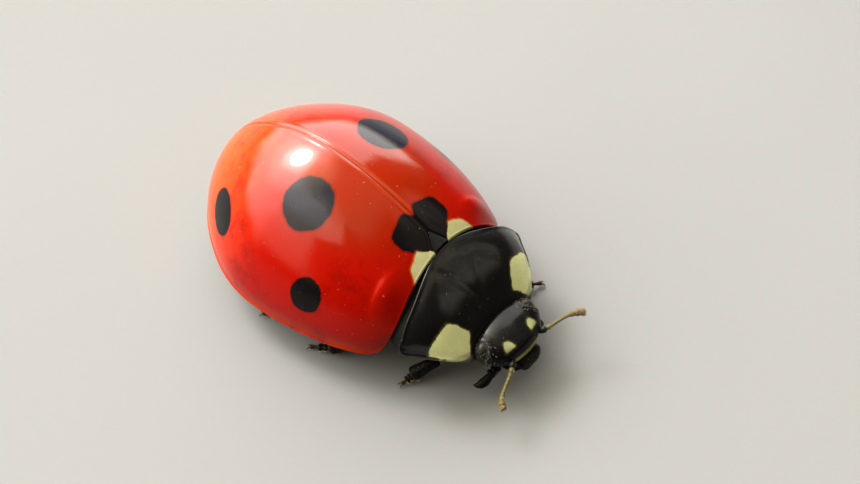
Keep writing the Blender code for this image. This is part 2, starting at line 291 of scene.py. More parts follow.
class Shape:
    """Gathers points in millimetres and faces, and makes one mesh object of them."""

    def __init__(self, start=None):
        self.points = []
        self.faces = []
        self.tints = []
        if start:
            self.mesh_of(start)

    def add(self, points, tint=0.0):
        """Adds an array of points and returns their numbers in the same layout."""
        points = np.asarray(points, float)
        flat = points.reshape(-1, 3)
        start = len(self.points)
        self.points.extend(flat)
        self.tints.extend(np.broadcast_to(tint, points.shape[:-1]).ravel())
        return (start + np.arange(len(flat))).reshape(points.shape[:-1])

    def tube(self, rings, tint=0.0):
        """Adds a closed solid through rings of points, with a point at each end, and returns the shape."""
        rings = np.asarray(rings, float)
        tint = np.broadcast_to(np.reshape(tint, (-1, 1)), rings.shape[:2])
        numbers = self.add(rings, tint)
        self.faces += tube_faces(numbers)
        for end, order in ((0, -1), (-1, 1)):
            ring = numbers[end]
            tip = self.add(np.mean(rings[end], axis=0), tint[end, 0])
            self.faces += [(a, b, int(tip))[::order] for a, b in zip(ring, np.roll(ring, -1))]
        return self

    def mesh_of(self, other):
        """Adds the points and faces of a bmesh in millimetres."""
        start = len(self.points)
        self.points.extend(np.array(vert.co) for vert in other.verts)
        self.tints.extend([0.0] * len(other.verts))
        other.verts.index_update()
        self.faces += [tuple(start + vert.index for vert in face.verts) for face in other.faces]
        other.free()

    def make(self, name, material, slot, *nodes, smooth=60):
        """Makes the piece, shades it, puts it on the body it rides on and hides the solids it stands for."""
        mesh = bpy.data.meshes.new(name)
        mesh.from_pydata(place(self.points).tolist(), [], [tuple(map(int, face)) for face in self.faces])
        tint = mesh.attributes.new("tint", "FLOAT", "POINT")
        tint.data.foreach_set("value", np.asarray(self.tints, np.float32))
        bm = bmesh.new()
        bm.from_mesh(mesh)
        bmesh.ops.recalc_face_normals(bm, faces=bm.faces)
        bm.to_mesh(mesh)
        bm.free()
        mesh.shade_smooth()
        mesh.set_sharp_from_angle(angle=math.radians(smooth))
        mesh.materials.append(material)
        piece = bpy.data.objects.new(name, mesh)
        bpy.context.scene.collection.objects.link(piece)
        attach(piece, BODY)
        if nodes:
            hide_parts(*nodes)
        return piece


def upward_normals(grid):
    """The unit normal at each point of a grid of points, on the side that faces up."""
    normals = unit(np.cross(np.gradient(grid, axis=0), np.gradient(grid, axis=1)))
    middle = normals[grid.shape[0] // 2, grid.shape[1] // 2, 2]
    return normals * np.sign(middle)


def ball(cuts, boxiness):
    """A rounded cube of unit size as a bmesh; a boxiness of 2 makes it round."""
    bm = bmesh.new()
    bmesh.ops.create_cube(bm, size=2)
    bmesh.ops.subdivide_edges(bm, edges=bm.edges, cuts=cuts, use_grid_fill=True)
    for vert in bm.verts:
        spread_out = Vector([math.tan(value * math.pi / 4) for value in vert.co])
        length = sum(abs(value) ** boxiness for value in spread_out) ** (1 / boxiness)
        vert.co = spread_out / length
    return bm


def reshape_bmesh(bm, change):
    """Moves all the points of a bmesh at once; change takes and returns an array of places."""
    points = np.array([vert.co for vert in bm.verts])
    for vert, point in zip(bm.verts, change(points)):
        vert.co = point
    return bm


def turned(points, angle):
    """Places turned about the upright axis."""
    return np.asarray(points) @ np.array(Matrix.Rotation(angle, 3, "Z")).T


def sweep(path, widths, heights, sides, upward=(0, 0, 1)):
    """Rings along a path, each an oval as wide as widths says and as high as heights says."""
    path = np.asarray(path, float)
    ahead = unit(np.gradient(path, axis=0))
    sideways = unit(np.cross(ahead, np.broadcast_to(upward, ahead.shape)))
    up = unit(np.cross(sideways, ahead))
    turn = np.linspace(0, 2 * math.pi, sides, endpoint=False)
    wide = np.reshape(widths, (-1, 1, 1)) * np.cos(turn)[None, :, None] * sideways[:, None]
    high = np.reshape(heights, (-1, 1, 1)) * np.sin(turn)[None, :, None] * up[:, None]
    return path[:, None] + wide + high


def rod(path, widths, sides):
    """Rings along a path, each round and as wide as widths says."""
    return sweep(path, widths, widths, sides)


def bezier(corners, amounts):
    """Points along a Bezier curve pulled by the corners."""
    level = [np.asarray(corner, float)[None] for corner in corners]
    amounts = np.asarray(amounts, float)[:, None]
    while len(level) > 1:
        level = [blend(a, b, amounts) for a, b in zip(level, level[1:])]
    return level[0]


# Tools for shader nodes

class Nodes:
    """Short calls that place shader nodes in one tree and join them."""

    def __init__(self, tree):
        self.tree = tree

    def add(self, kind, **settings):
        node = self.tree.nodes.new(kind)
        for name, value in settings.items():
            setattr(node, name, value)
        return node

    def feed(self, socket, value):
        """Links a socket, or sets a constant on it; a colour gets full opacity."""
        if isinstance(value, bpy.types.NodeSocket):
            self.tree.links.new(value, socket)
        elif socket.type == "RGBA":
            socket.default_value = (*value[:3], 1)
        else:
            socket.default_value = value

    def fill(self, node, **values):
        """Feeds a node's inputs by name, with _ for a space, and returns its outputs."""
        for key, value in values.items():
            self.feed(node.inputs[key.replace("_", " ")], value)
        return node.outputs

    def use(self, name, **values):
        """Places a group, feeds its inputs by name, and returns its outputs."""
        return self.fill(self.add("ShaderNodeGroup", node_tree=bpy.data.node_groups[name]), **values)

    def combine(self, node, *values):
        """Feeds a node's inputs in order and returns its outputs."""
        for socket, value in zip(node.inputs, values):
            self.feed(socket, value)
        return node.outputs

    def math(self, operation, *values, clamp=False):
        return self.combine(self.add("ShaderNodeMath", operation=operation, use_clamp=clamp), *values)[0]

    def product(self, first, *others):
        for other in others:
            first = self.math("MULTIPLY", first, other)
        return first

    def highest(self, first, *others):
        for other in others:
            first = self.math("MAXIMUM", first, other)
        return first

    def vector(self, operation, *values):
        outputs = self.combine(self.add("ShaderNodeVectorMath", operation=operation), *values)
        return outputs["Value" if operation in ("LENGTH", "DOT_PRODUCT") else "Vector"]

    def split(self, vector):
        return self.combine(self.add("ShaderNodeSeparateXYZ"), vector)

    def join(self, x, y, z):
        return self.combine(self.add("ShaderNodeCombineXYZ"), x, y, z)[0]

    def step(self, value, low, high, to_low=0.0, to_high=1.0):
        """A smooth step from to_low at low to to_high at high; low may be above high."""
        node = self.add("ShaderNodeMapRange", interpolation_type="SMOOTHSTEP")
        self.fill(node, Value=value, From_Min=low, From_Max=high, To_Min=to_low, To_Max=to_high)
        return node.outputs["Result"]

    def mix(self, amount, first, second):
        """From the first colour where the amount is 0 to the second where it is 1."""
        node = self.add("ShaderNodeMix", data_type="RGBA")
        sockets = {(socket.name, socket.type): socket for socket in node.inputs}
        for key, value in ((("Factor", "VALUE"), amount), (("A", "RGBA"), first), (("B", "RGBA"), second)):
            self.feed(sockets[key], value)
        return next(socket for socket in node.outputs if socket.type == "RGBA")

    def over(self, base, mask, tone, strength=1.0):
        """Lays a colour over the base where the mask says, at the given strength."""
        return self.mix(mask if strength == 1.0 else self.product(mask, strength), base, tone)

    def noise(self, position, scale, detail=2.0, roughness=0.5):
        node = self.add("ShaderNodeTexNoise")
        return self.fill(node, Vector=position, Scale=scale, Detail=detail, Roughness=roughness)["Fac"]

    def cells(self, position, scale, feature="F1"):
        node = self.add("ShaderNodeTexVoronoi", feature=feature)
        return self.fill(node, Vector=position, Scale=scale)["Distance"]

    def place_mm(self):
        """The shaded point in the beetle's own millimetre layout."""
        found = self.add("ShaderNodeTexCoord").outputs["Object"]
        return self.vector("MULTIPLY_ADD", found, (1 / MM,) * 3, (0, -WIDEST_Y, 0))

    def mirrored_mm(self):
        """The same with x counted outward from the midline, for marks that both sides carry."""
        x, y, z = self.split(self.place_mm())
        return self.join(self.math("ABSOLUTE", x), y, z)

    def bumped(self, height, distance_mm, strength):
        """The normal of a surface whose height changes by so many millimetres."""
        node = self.add("ShaderNodeBump")
        return self.fill(node, Strength=strength, Distance=distance_mm * MM, Height=height)["Normal"]

    def tint(self):
        """The value that a piece's own points carry."""
        return self.add("ShaderNodeAttribute", attribute_name="tint").outputs["Fac"]


FLOAT = "NodeSocketFloat"
VECTOR = "NodeSocketVector"
MARK_SIDES = (1, 2, 3, 4)
MASKS = (("Mask", FLOAT), ("Wide mask", FLOAT))


def new_group(name, inputs, outputs, build):
    """Makes a shader node group; build returns the values of its outputs in order."""
    tree = bpy.data.node_groups.new(name, "ShaderNodeTree")
    for label, kind, default in inputs:
        socket = tree.interface.new_socket(label, in_out="INPUT", socket_type=kind)
        socket.default_value = default
    for label, kind in outputs:
        tree.interface.new_socket(label, in_out="OUTPUT", socket_type=kind)
    nodes = Nodes(tree)
    given = nodes.add("NodeGroupInput").outputs
    made = build(nodes, given)
    nodes.combine(nodes.add("NodeGroupOutput"), *made)


def fray(nodes, given, detail, roughness, finer, depth):
    """What makes a mark's edge ragged: a coarse wobble, and a finer and shallower one."""
    position = nodes.place_mm()
    coarse = nodes.noise(position, given["Grain"], detail, roughness)
    wobble = nodes.product(nodes.math("SUBTRACT", coarse, 0.5), given["Ragged"])
    fine = nodes.noise(position, nodes.product(given["Grain"], finer), 2.0, 0.6)
    return nodes.math("MULTIPLY_ADD", nodes.math("SUBTRACT", fine, 0.5), depth, wobble)


def build_oval_mark(nodes, given):
    """1 inside an oval that is turned about the upright axis."""
    offset = nodes.vector("SUBTRACT", nodes.mirrored_mm(), given["Centre"])
    rotate = nodes.add("ShaderNodeVectorRotate", rotation_type="Z_AXIS")
    level = nodes.fill(rotate, Vector=offset, Angle=given["Turn"])[0]
    scaled = nodes.vector("DIVIDE", level, given["Half size"])
    wobble = fray(nodes, given, 3.0, 0.62, 6.0, 0.07)
    reach = nodes.math("ADD", nodes.vector("LENGTH", scaled), wobble)
    inner = nodes.math("SUBTRACT", 1.0, given["Softness"])
    return (nodes.step(reach, 1.0, inner), nodes.step(reach, nodes.math("ADD", 1.0, given["Halo"]), inner))


def build_edged_mark(nodes, given):
    """Every side is a straight line a given way from the centre; the corners are rounded off."""
    offset = nodes.vector("SUBTRACT", nodes.mirrored_mm(), given["Centre"])
    x, y, _ = nodes.split(offset)
    outermost = None
    for side in MARK_SIDES:
        facing = given[f"Facing {side}"]
        across = nodes.product(x, nodes.math("COSINE", facing))
        along = nodes.product(y, nodes.math("SINE", facing))
        beyond = nodes.math("SUBTRACT", nodes.math("ADD", across, along), given[f"Reach {side}"])
        if outermost is None:
            outermost = beyond
        else:
            outermost = nodes.math("SMOOTH_MAX", outermost, beyond, given["Rounding"])
    beyond = nodes.math("ADD", outermost, fray(nodes, given, 2.0, 0.5, 5.0, 0.025))
    return (nodes.step(beyond, given["Softness"], 0.0), nodes.step(beyond, given["Halo"], 0.0))


def build_pits(nodes, given):
    """Small round pits at random places, over a fine net of raised lines."""
    position = nodes.place_mm()
    distance = nodes.cells(position, given["Per mm"])
    pit = nodes.step(distance, given["Width"], 0.0)
    present = nodes.step(nodes.noise(position, given["Per mm"], 0.0), 0.42, 0.58)
    pit = nodes.product(pit, present)
    net = nodes.step(nodes.cells(position, given["Net per mm"], "DISTANCE_TO_EDGE"), 0.0, 0.25)
    height = nodes.math("SUBTRACT", nodes.product(net, given["Net depth"]), pit)
    return (height,)


def build_drift(nodes, given):
    """Slow and quick changes of tone, and specks of dust."""
    position = nodes.place_mm()
    slow = nodes.noise(position, given["Slow per mm"], 3.0, 0.55)
    quick = nodes.noise(position, given["Quick per mm"], 4.0, 0.6)
    tone = nodes.math("ADD", nodes.product(slow, 0.65), nodes.product(quick, 0.35))
    dust = nodes.step(nodes.noise(position, given["Dust per mm"], 1.0, 0.5), 0.745, 0.80)
    spread_out = nodes.product(nodes.math("SUBTRACT", quick, 0.5), given["Roughness spread"])
    return (tone, dust, nodes.math("ADD", given["Roughness"], spread_out, clamp=True))


def make_groups():
    """The effects that several of the finishes share."""
    new_group("Oval mark",
              [("Centre", VECTOR, (0, 0, 0)), ("Half size", VECTOR, (1, 1, 1)), ("Turn", FLOAT, 0.0),
               ("Grain", FLOAT, 3.0), ("Ragged", FLOAT, 0.2), ("Softness", FLOAT, 0.06),
               ("Halo", FLOAT, 0.12)],
              MASKS, build_oval_mark)
    far_out = 9.0  # where the sides that a mark doesn't use are
    sides = [(f"{word} {side}", FLOAT, default)
             for side in MARK_SIDES for word, default in (("Facing", 0.0), ("Reach", far_out))]
    new_group("Edged mark",
              [("Centre", VECTOR, (0, 0, 0)), *sides, ("Rounding", FLOAT, 0.1), ("Grain", FLOAT, 4.0),
               ("Ragged", FLOAT, 0.05), ("Softness", FLOAT, 0.02), ("Halo", FLOAT, 0.06)],
              MASKS, build_edged_mark)
    new_group("Fine pits",
              [("Per mm", FLOAT, 22.0), ("Width", FLOAT, 0.4), ("Net per mm", FLOAT, 70.0),
               ("Net depth", FLOAT, 0.3)],
              [("Height", FLOAT)], build_pits)
    new_group("Tone drift",
              [("Slow per mm", FLOAT, 0.7), ("Quick per mm", FLOAT, 9.0), ("Dust per mm", FLOAT, 14.0),
               ("Roughness", FLOAT, 0.3), ("Roughness spread", FLOAT, 0.2)],
              [("Tone", FLOAT), ("Dust", FLOAT), ("Roughness", FLOAT)], build_drift)


def new_material(name):
    """A material with one Principled shader, and the short calls for its nodes."""
    material = bpy.data.materials.new(name)
    material.use_nodes = True
    nodes = Nodes(material.node_tree)
    return material, nodes, material.node_tree.nodes["Principled BSDF"]


# Each finish's dust: its colour, and how much of the base it covers
WING_DUST = ((0.7, 0.6, 0.5), 0.10)
SHIELD_DUST = ((0.4, 0.38, 0.34), 0.12)
UNDERSIDE_DUST = ((0.35, 0.30, 0.24), 0.25)
FACE_DUST = ((0.4, 0.37, 0.3), 0.2)
EYE_DUST = ((0.35, 0.32, 0.26), 0.2)
LEG_DUST = ((0.4, 0.36, 0.3), 0.25)
FEELER_DUST = ((0.6, 0.5, 0.35), 0.2)


def scaled(tone, amount):
    return [value * amount for value in tone]


def drifting_material(name, slow_per_mm, quick_per_mm, roughness, roughness_spread=0.2):
    """A material whose tone, dust and roughness change from place to place."""
    material, nodes, shader = new_material(name)
    drift = nodes.use("Tone drift", Slow_per_mm=slow_per_mm, Quick_per_mm=quick_per_mm, Roughness=roughness,
                      Roughness_spread=roughness_spread)
    return material, nodes, shader, drift


def pitted(nodes, depth_mm, strength=1.0, **values):
    """The normal of a shell with fine pits and a net of raised lines."""
    return nodes.bumped(nodes.use("Fine pits", **values)["Height"], depth_mm, strength)


def finish_surface(nodes, shader, base, drift, dust, normal, **others):
    """Dusts the base and feeds the shader; a value that is the same all over is set on the shader itself."""
    if dust:
        base = nodes.over(base, drift["Dust"], *dust)
    nodes.fill(shader, Base_Color=base, Roughness=drift["Roughness"], Normal=normal, **others)


# The dome that both wing cases share, and the marks

def dome_power(y):
    return blend(FRONT_ROUNDNESS, REAR_ROUNDNESS, ease(y, -1.2, 1.8))


def dome_share(x, y):
    """0 at the crown and 1 at the rim."""
    power = dome_power(y)
    length = np.where(np.asarray(y) > 0, DOME_REAR, DOME_FRONT)
    return ((np.abs(x) / DOME_HALF_WIDTH) ** power + (np.abs(y) / length) ** power) ** (1 / power)


def dome_z(x, y):
    gone = np.minimum(dome_share(x, y), 1) ** CROWN_ROUNDNESS
    return RIM_Z + DOME_HEIGHT * (1 - gone) ** (1 / CROWN_ROUNDNESS)


def dome_place(x, y):
    return (x, y, float(dome_z(x, y)))


def edged(centre, *sides, **finish):
    """What an edged mark takes; each side says how many degrees it is turned and how far out it is."""
    values = dict(Centre=(*centre, 0), **finish)
    for number, (degrees, reach) in zip(MARK_SIDES, sides):
        values[f"Facing_{number}"] = math.radians(degrees)
        values[f"Reach_{number}"] = reach
    return values


# Marks on the left half, as seen from above; the right half mirrors them
WING_SPOTS = (
    dict(Centre=dome_place(1.11, -0.34), Half_size=(0.545, 0.52, 0.66), Grain=1.9, Ragged=0.20),
    dict(Centre=dome_place(2.17, -1.11), Half_size=(0.40, 0.33, 0.385), Grain=2.6, Ragged=0.32),
    dict(Centre=(1.705, 1.46, 1.84), Half_size=(0.515, 0.285, 0.42), Turn=math.radians(36), Grain=2.0,
         Ragged=0.20),
)
WING_HEART = edged((0, -2.20), (0, 0.635), (76, 0.341), (315, 0.53), (139, 0.095), Rounding=0.13, Ragged=0.10,
                   Grain=3.5)
WING_CREAM = edged((0.55, -2.74), (129, 0.235), (70, 0.195), (26, 0.255), Rounding=0.07, Ragged=0.05,
                   Grain=5.0)
SHIELD_CREAM = edged((1.03, -3.86), (92, 0.215), (138, 0.20), (233, 0.295), (324, 0.245), Rounding=0.07,
                     Ragged=0.08, Grain=4.5)
FACE_CREAM = edged((0.340, -4.645), (110, 0.062), (165, 0.068), (285, 0.080), (30, 0.082), Rounding=0.09,
                   Ragged=0.03, Grain=6.0)
FLANK_CREAM = edged((1.62, -2.30), (20, 0.36), (110, 0.20), (200, 0.34), (290, 0.22), Rounding=0.08,
                    Ragged=0.05)


# Wing cases

MARGIN_SHARE = 0.022  # how much of the dome's width the reflexed margin takes
LIP_SETBACK = 0.03
SHOULDER_SHARPNESS = 14.0  # how sharply the base turns into the rim
DOME_LOWERED = 0.013  # keeps the lacquer and its bumps under the top of the solid
OUTLINE_ROUNDS = 20  # the rim's roundness depends on y, so its reach is found round by round
SEAM_GAP = 0.004
SEAM_WIDTH = 0.022
SEAM_BEAD_PLACE, SEAM_BEAD_WIDTH, SEAM_BEAD_HEIGHT = 0.075, 0.040, 0.007
SHOULDER, SHOULDER_WIDTH = (1.42, -2.50), 0.24
SHOULDER_STEP_Y = -2.30  # the shoulder falls away behind this line
SHOULDER_STEP_HEIGHT, SHOULDER_STEP_WIDTH = 0.042, 0.36
EDGE_PULL_POWER = 14  # how soon a shell's inner side stops following its edge; higher is sooner
FLANGE = ((0.012, 0.06), (0.020, 0.12), (0.025, 0.18), (0.028, 0.24), (0.030, 0.29), (0.033, 0.325),
          (0.039, 0.345), (0.046, 0.354), (0.0525, 0.364), (0.0545, 0.380), (0.051, 0.396), (0.040, 0.407),
          (0.018, 0.412), (-0.03, 0.412), (-0.10, 0.405), (-0.20, 0.390), (-0.30, 0.365), (-0.34, 0.340))
LIP = ((0.008, 0.002), (0.015, 0.007), (0.021, 0.014), (0.026, 0.024), (0.029, 0.036), (0.030, 0.048),
       (0.030, 0.060), (0.029, 0.072), (0.026, 0.084), (0.021, 0.094), (0.014, 0.102), (0.004, 0.108),
       (-0.01, 0.112), (-0.03, 0.115), (-0.06, 0.116), (-0.09, 0.117), (-0.12, 0.118), (-0.15, 0.119))
FLANGE_DEPTH = max(down for _, down in FLANGE)


def dome_outline(angle):
    """The rim from above; the angle is 0 at the left, 90 degrees behind and -90 in front."""
    cosine, sine = np.cos(angle), np.sin(angle)
    length = np.where(sine > 0, DOME_REAR, DOME_FRONT)
    radius = np.ones_like(angle)
    for _ in range(OUTLINE_ROUNDS):
        radius = oval_reach(cosine, sine, dome_power(radius * length * sine))
    return radius * cosine * DOME_HALF_WIDTH, radius * sine * length


def wing_edge(angle):
    """The edge of a wing case's dome at an angle, and how much of a margin it has there."""
    across, along = dome_outline(angle)
    reach = -(SEAM_Y + LIP_SETBACK)
    inside_root = np.maximum(along * along - 4 * SEAM_BOW * across * across * reach, 1e-9)
    cut = np.where(along < 0, 2 * reach / np.maximum(-along + np.sqrt(inside_root), 1e-6), 50)
    end = (1 + cut ** -SHOULDER_SHARPNESS) ** (-1 / SHOULDER_SHARPNESS)
    margin = ease(end, 0.93, 0.995)
    end = end * (1 - MARGIN_SHARE * margin)
    return np.stack([across * end, along * end, margin], axis=-1)


def seam_x(y):
    """Where a wing case's inner edge runs, with a notch for the scutellum."""
    tip = SEAM_Y + SCUTELLUM_LENGTH + 0.02
    slope = SCUTELLUM_HALF_WIDTH / SCUTELLUM_LENGTH
    return SEAM_GAP + slope * np.maximum(tip - y, 0)


def wing_plan(rows, columns):
    """A grid of places from above, base to tail and seam to rim, and how much margin its edge has."""
    angles = np.linspace(-math.pi / 2, math.pi / 2, 6000)
    edge = wing_edge(angles)
    base_end, tail_start = (np.searchsorted(angles, angle) for angle in (SHOULDER_ANGLE, TAIL_ANGLE))
    first = np.argmax(edge[:base_end, 0] >= seam_x(edge[:base_end, 1]))
    last = len(edge) - 1 - np.argmax(edge[::-1, 0] >= seam_x(edge[::-1, 1]))
    runs = (edge[first:base_end + 1], edge[base_end:tail_start + 1], edge[tail_start:last + 1][::-1])

    def walk(run, amounts):
        steps = np.linalg.norm(np.diff(run[:, :2], axis=0), axis=1)
        distance = np.concatenate([[0], np.cumsum(steps)])
        return np.stack([np.interp(amounts * distance[-1], distance, run[:, k]) for k in range(3)], axis=-1)

    base, rim, tail = walk(runs[0], columns), walk(runs[1], rows), walk(runs[2], columns)
    inner_y = blend(base[0, 1], tail[0, 1], rows)
    inner = np.stack([seam_x(inner_y), inner_y, np.zeros_like(inner_y)], axis=-1)
    u, w = rows[:, None, None], columns[None, :, None]
    corners = (1 - u) * (1 - w) * base[0] + (1 - u) * w * base[-1] + u * (1 - w) * tail[0] + u * w * tail[-1]
    plan = (1 - w) * inner[:, None] + w * rim[:, None] + (1 - u) * base[None] + u * tail[None] - corners
    margin = np.concatenate([base[:, 2], rim[1:, 2], tail[-2::-1, 2]])
    return plan[..., :2], margin


def wing_case(side, settings):
    """The points and faces of one wing case: dome, margin, turned-under rim and inner side."""
    rows = spread(118, 3, 4)
    columns = spread(74, 9, 4)
    plan, margin = wing_plan(rows, columns)
    x, y = plan[..., 0], plan[..., 1]
    z = dome_z(x, y) - DOME_LOWERED
    from_seam = x - seam_x(y)
    z -= settings.seam_depth / MM * bump(from_seam, SEAM_WIDTH)
    z += SEAM_BEAD_HEIGHT * bump(from_seam - SEAM_BEAD_PLACE, SEAM_BEAD_WIDTH)
    from_shoulder = np.hypot(x - SHOULDER[0], (y - SHOULDER[1]) * 1.15)
    z += settings.shoulder_bump / MM * bump(from_shoulder, SHOULDER_WIDTH)
    behind = y - SHOULDER_STEP_Y + 0.45 * (x - 1.36) ** 2
    shoulder_step = ease(behind, 0.07, -0.06) * ease(behind, -0.60, -0.12)
    z += SHOULDER_STEP_HEIGHT * shoulder_step * bump(x - SHOULDER[0], SHOULDER_STEP_WIDTH)
    top = np.stack([x, y, z], axis=-1)
    waves = wander(top * (side, 1, 1), 1.1, 3.7) * ease(dome_share(x, y), 0.95, 0.8)
    top[..., 2] += settings.unevenness / MM * waves
    path = edge_path(len(rows), len(columns), closed=False)
    edge = np.array([top[key] for key in path])
    outward = level_sideways(unit(np.gradient(edge[:, :2], axis=0)))
    outward[0] = (0, -1, 0)
    outward[-1] = (0, 1, 0)
    rings = []
    for (flange_out, flange_down), (lip_out, lip_down) in zip(FLANGE, LIP):
        drop = (edge[:, 2] - RIM_Z) / FLANGE_DEPTH
        out = blend(lip_out, flange_out, margin)
        down = blend(lip_down, flange_down * np.minimum(drop, 1.05), margin)
        rings.append(edge + outward * out[:, None] - np.array((0, 0, 1)) * down[:, None])
    inner = top - upward_normals(top) * settings.shell_thickness / MM
    inner = settle_on_edge(inner, dict(zip(path, rings[-1])))
    inner[:, 0, 0] = top[:, 0, 0]
    return assemble_wing(top, rings, inner, path, side)


def settle_on_edge(grid, targets):
    """Moves a grid smoothly so that the sides that have targets meet them."""
    rows, columns = grid.shape[:2]
    shift = {key: target - grid[key] for key, target in targets.items()}
    back = np.linspace(0, 1, rows)[:, None, None]
    over = np.linspace(0, 1, columns)[None, :, None]
    row_sides = [(i, weight ** EDGE_PULL_POWER)
                 for i, weight in ((0, 1 - back), (rows - 1, back)) if (i, 1) in shift]
    column_sides = [(j, weight ** EDGE_PULL_POWER)
                    for j, weight in ((0, 1 - over), (columns - 1, over)) if (1, j) in shift]
    moved = np.array(grid)
    for i, weight in row_sides:
        moved += weight * np.array([shift[i, j] for j in range(columns)])[None]
    for j, weight in column_sides:
        moved += weight * np.array([shift[i, j] for i in range(rows)])[:, None]
        for i, other in row_sides:
            moved -= weight * other * shift[i, j]
    return moved


def assemble_wing(top, rings, inner, path, side):
    """Joins the upper side, the rim and the inner side into one closed shape."""
    shape = Shape()
    mirror = np.array((side, 1, 1))
    upper = shape.add(top * mirror)
    bands = [np.array([upper[key] for key in path])]
    bands += [shape.add(ring * mirror) for ring in rings]
    lower = shape.add(inner * mirror)
    for number, key in zip(bands[-1], path):
        lower[key] = number
    shape.faces += grid_faces(upper)
    shape.faces += grid_faces(np.array(bands))
    shape.faces += [face[::-1] for face in grid_faces(lower)]
    shape.faces += grid_faces(np.stack([lower[:, 0], upper[:, 0]]))
    shape.faces.append(tuple(band[0] for band in bands))
    shape.faces.append(tuple(band[-1] for band in bands)[::-1])
    return shape


DEEP_RED, CROWN_RED, TOP_RED = (0.15, 0.0016, 0.0004), (0.165, 0.0030, 0.0003), (0.165, 0.0095, 0.0003)
# the rim tone is a painted highlight along the rim edge; the seam tones are painted highlights on the seam's
# ridges and painted shade in its groove
RIM_HIGHLIGHT_RED, SEAM_RIDGE_HIGHLIGHT, SEAM_GROOVE_SHADE = (0.42, 0.08, 0.03), (0.40, 0.05, 0.012), (0.14, 0.010, 0.005)
# the spots' bluish top tone is a painted reflection of the sky
SPOT_EDGE, SPOT_SKY_SHEEN, CREAM_EDGE = (0.07, 0.001, 0.001), (0.003, 0.005, 0.014), (0.42, 0.10, 0.010)
GLOSS_TINT = (1.0, 0.60, 0.35)
CREAM_SHADES = (0.72, 0.78, 0.62)  # what the cream's darker places keep of each colour


def wing_reds(nodes, settings, drift):
    """Deep red on the crown, and deep red in front as painted shade of the light from behind; orange towards
    the tail and the rim, with a painted highlight along the rim edge; painted highlights on the ridges beside
    the seam and a brown painted shade in its groove.
    """
    x, y, z = nodes.split(nodes.mirrored_mm())
    low = nodes.product(nodes.step(z, 1.15, RIM_Z), 0.35)
    paler = nodes.highest(nodes.step(y, 0.0, 2.8), low)
    tone = nodes.math("MULTIPLY_ADD", nodes.step(drift["Tone"], 0.35, 0.65), 0.30, 0.80)
    paler = nodes.math("MULTIPLY", paler, tone, clamp=True)
    # darker towards the front: painted shade, as the light comes from behind
    base = nodes.mix(paler, settings.shaded_front_red, settings.rear_red)
    base = nodes.over(base, nodes.step(drift["Tone"], 0.50, 0.34), DEEP_RED, 0.65)
    # deep red over the crown, and over the front towards the shield as painted shade, the light coming from
    # behind
    crown = nodes.product(nodes.step(z, 2.3, 3.0), nodes.step(y, 0.7, -0.5))
    ahead = nodes.highest(crown, nodes.step(y, -1.9, -2.6, 0.0, 0.6))
    base = nodes.over(base, ahead, nodes.mix(crown, CROWN_RED, TOP_RED), 0.75)
    # a thin paler line along the rim edge: painted highlight
    base = nodes.over(base, nodes.step(z, RIM_Z + 0.06, RIM_Z - 0.02), RIM_HIGHLIGHT_RED, 0.3)
    # paler beside the seam: painted highlights on its ridges; darker in the groove: painted shade
    base = nodes.over(base, nodes.step(x, 0.12, 0.03), SEAM_RIDGE_HIGHLIGHT, 0.3)
    return nodes.over(base, nodes.step(x, 0.028, 0.006), SEAM_GROOVE_SHADE, 0.7)


def wing_material(settings):
    """Lacquered red with black spots, cream marks beside the shield, and a paler rim whose thin edge line is
    a painted highlight.
    """
    material, nodes, shader, drift = drifting_material("wing_case_lacquer", 0.55, 5.0, 0.22, 0.12)
    x, y, z = nodes.split(nodes.mirrored_mm())
    base = wing_reds(nodes, settings, drift)
    cream = nodes.use("Edged mark", **WING_CREAM)
    blacks = [nodes.use("Edged mark", **WING_HEART)]
    blacks += [nodes.use("Oval mark", Softness=0.05, Halo=0.10, **spot) for spot in WING_SPOTS]
    dark = nodes.highest(*(mark["Mask"] for mark in blacks))
    base = nodes.over(base, nodes.highest(*(mark["Wide mask"] for mark in blacks)), SPOT_EDGE, 0.8)
    # bluish black on top of the crown: painted reflection of the sky
    sky_sheen = nodes.product(nodes.step(z, 2.5, 3.0), nodes.step(y, -1.7, -1.2))
    base = nodes.over(base, dark, nodes.mix(sky_sheen, settings.black, SPOT_SKY_SHEEN))
    base = nodes.over(base, nodes.product(cream["Wide mask"], nodes.step(x, 0.35, 0.6)), CREAM_EDGE)
    deep = [value * kept for value, kept in zip(settings.cream, CREAM_SHADES)]
    cream_tone = nodes.mix(nodes.step(drift["Tone"], 0.35, 0.6), settings.cream, deep)
    base = nodes.over(base, cream["Mask"], cream_tone)
    normal = pitted(nodes, 0.0035, 0.6, Per_mm=13.0, Width=0.30, Net_per_mm=45.0, Net_depth=0.2)
    gloss = nodes.product(nodes.step(drift["Dust"], 1.0, 0.0), settings.gloss,
                          nodes.math("MULTIPLY_ADD", dark, -0.25, 1.0),
                          nodes.step(z, 2.1, 3.05, 0.28, 1.0), nodes.step(y, -2.7, -1.3, 0.40, 1.0))
    finish_surface(nodes, shader, base, drift, WING_DUST, normal, Coat_Weight=gloss, Coat_Roughness=0.06,
                   Coat_IOR=1.34, Specular_IOR_Level=0.10, Specular_Tint=GLOSS_TINT)
    return material


class LADYBIRD_OT_wing_cases(bpy.types.Operator):
    """Builds the two wing cases"""

    bl_idname = "ladybird.wing_cases"
    bl_label = "Wing cases"

    def execute(self, context):
        settings = context.scene.ladybird_wings
        material = wing_material(settings)
        for word, side in SIDES.items():
            shape = wing_case(side, settings)
            shape.make(f"wing_case_{word}", material, "wing_case_red", f"elytron_{word}", smooth=70)
        return {"FINISHED"}


# Shield and scutellum

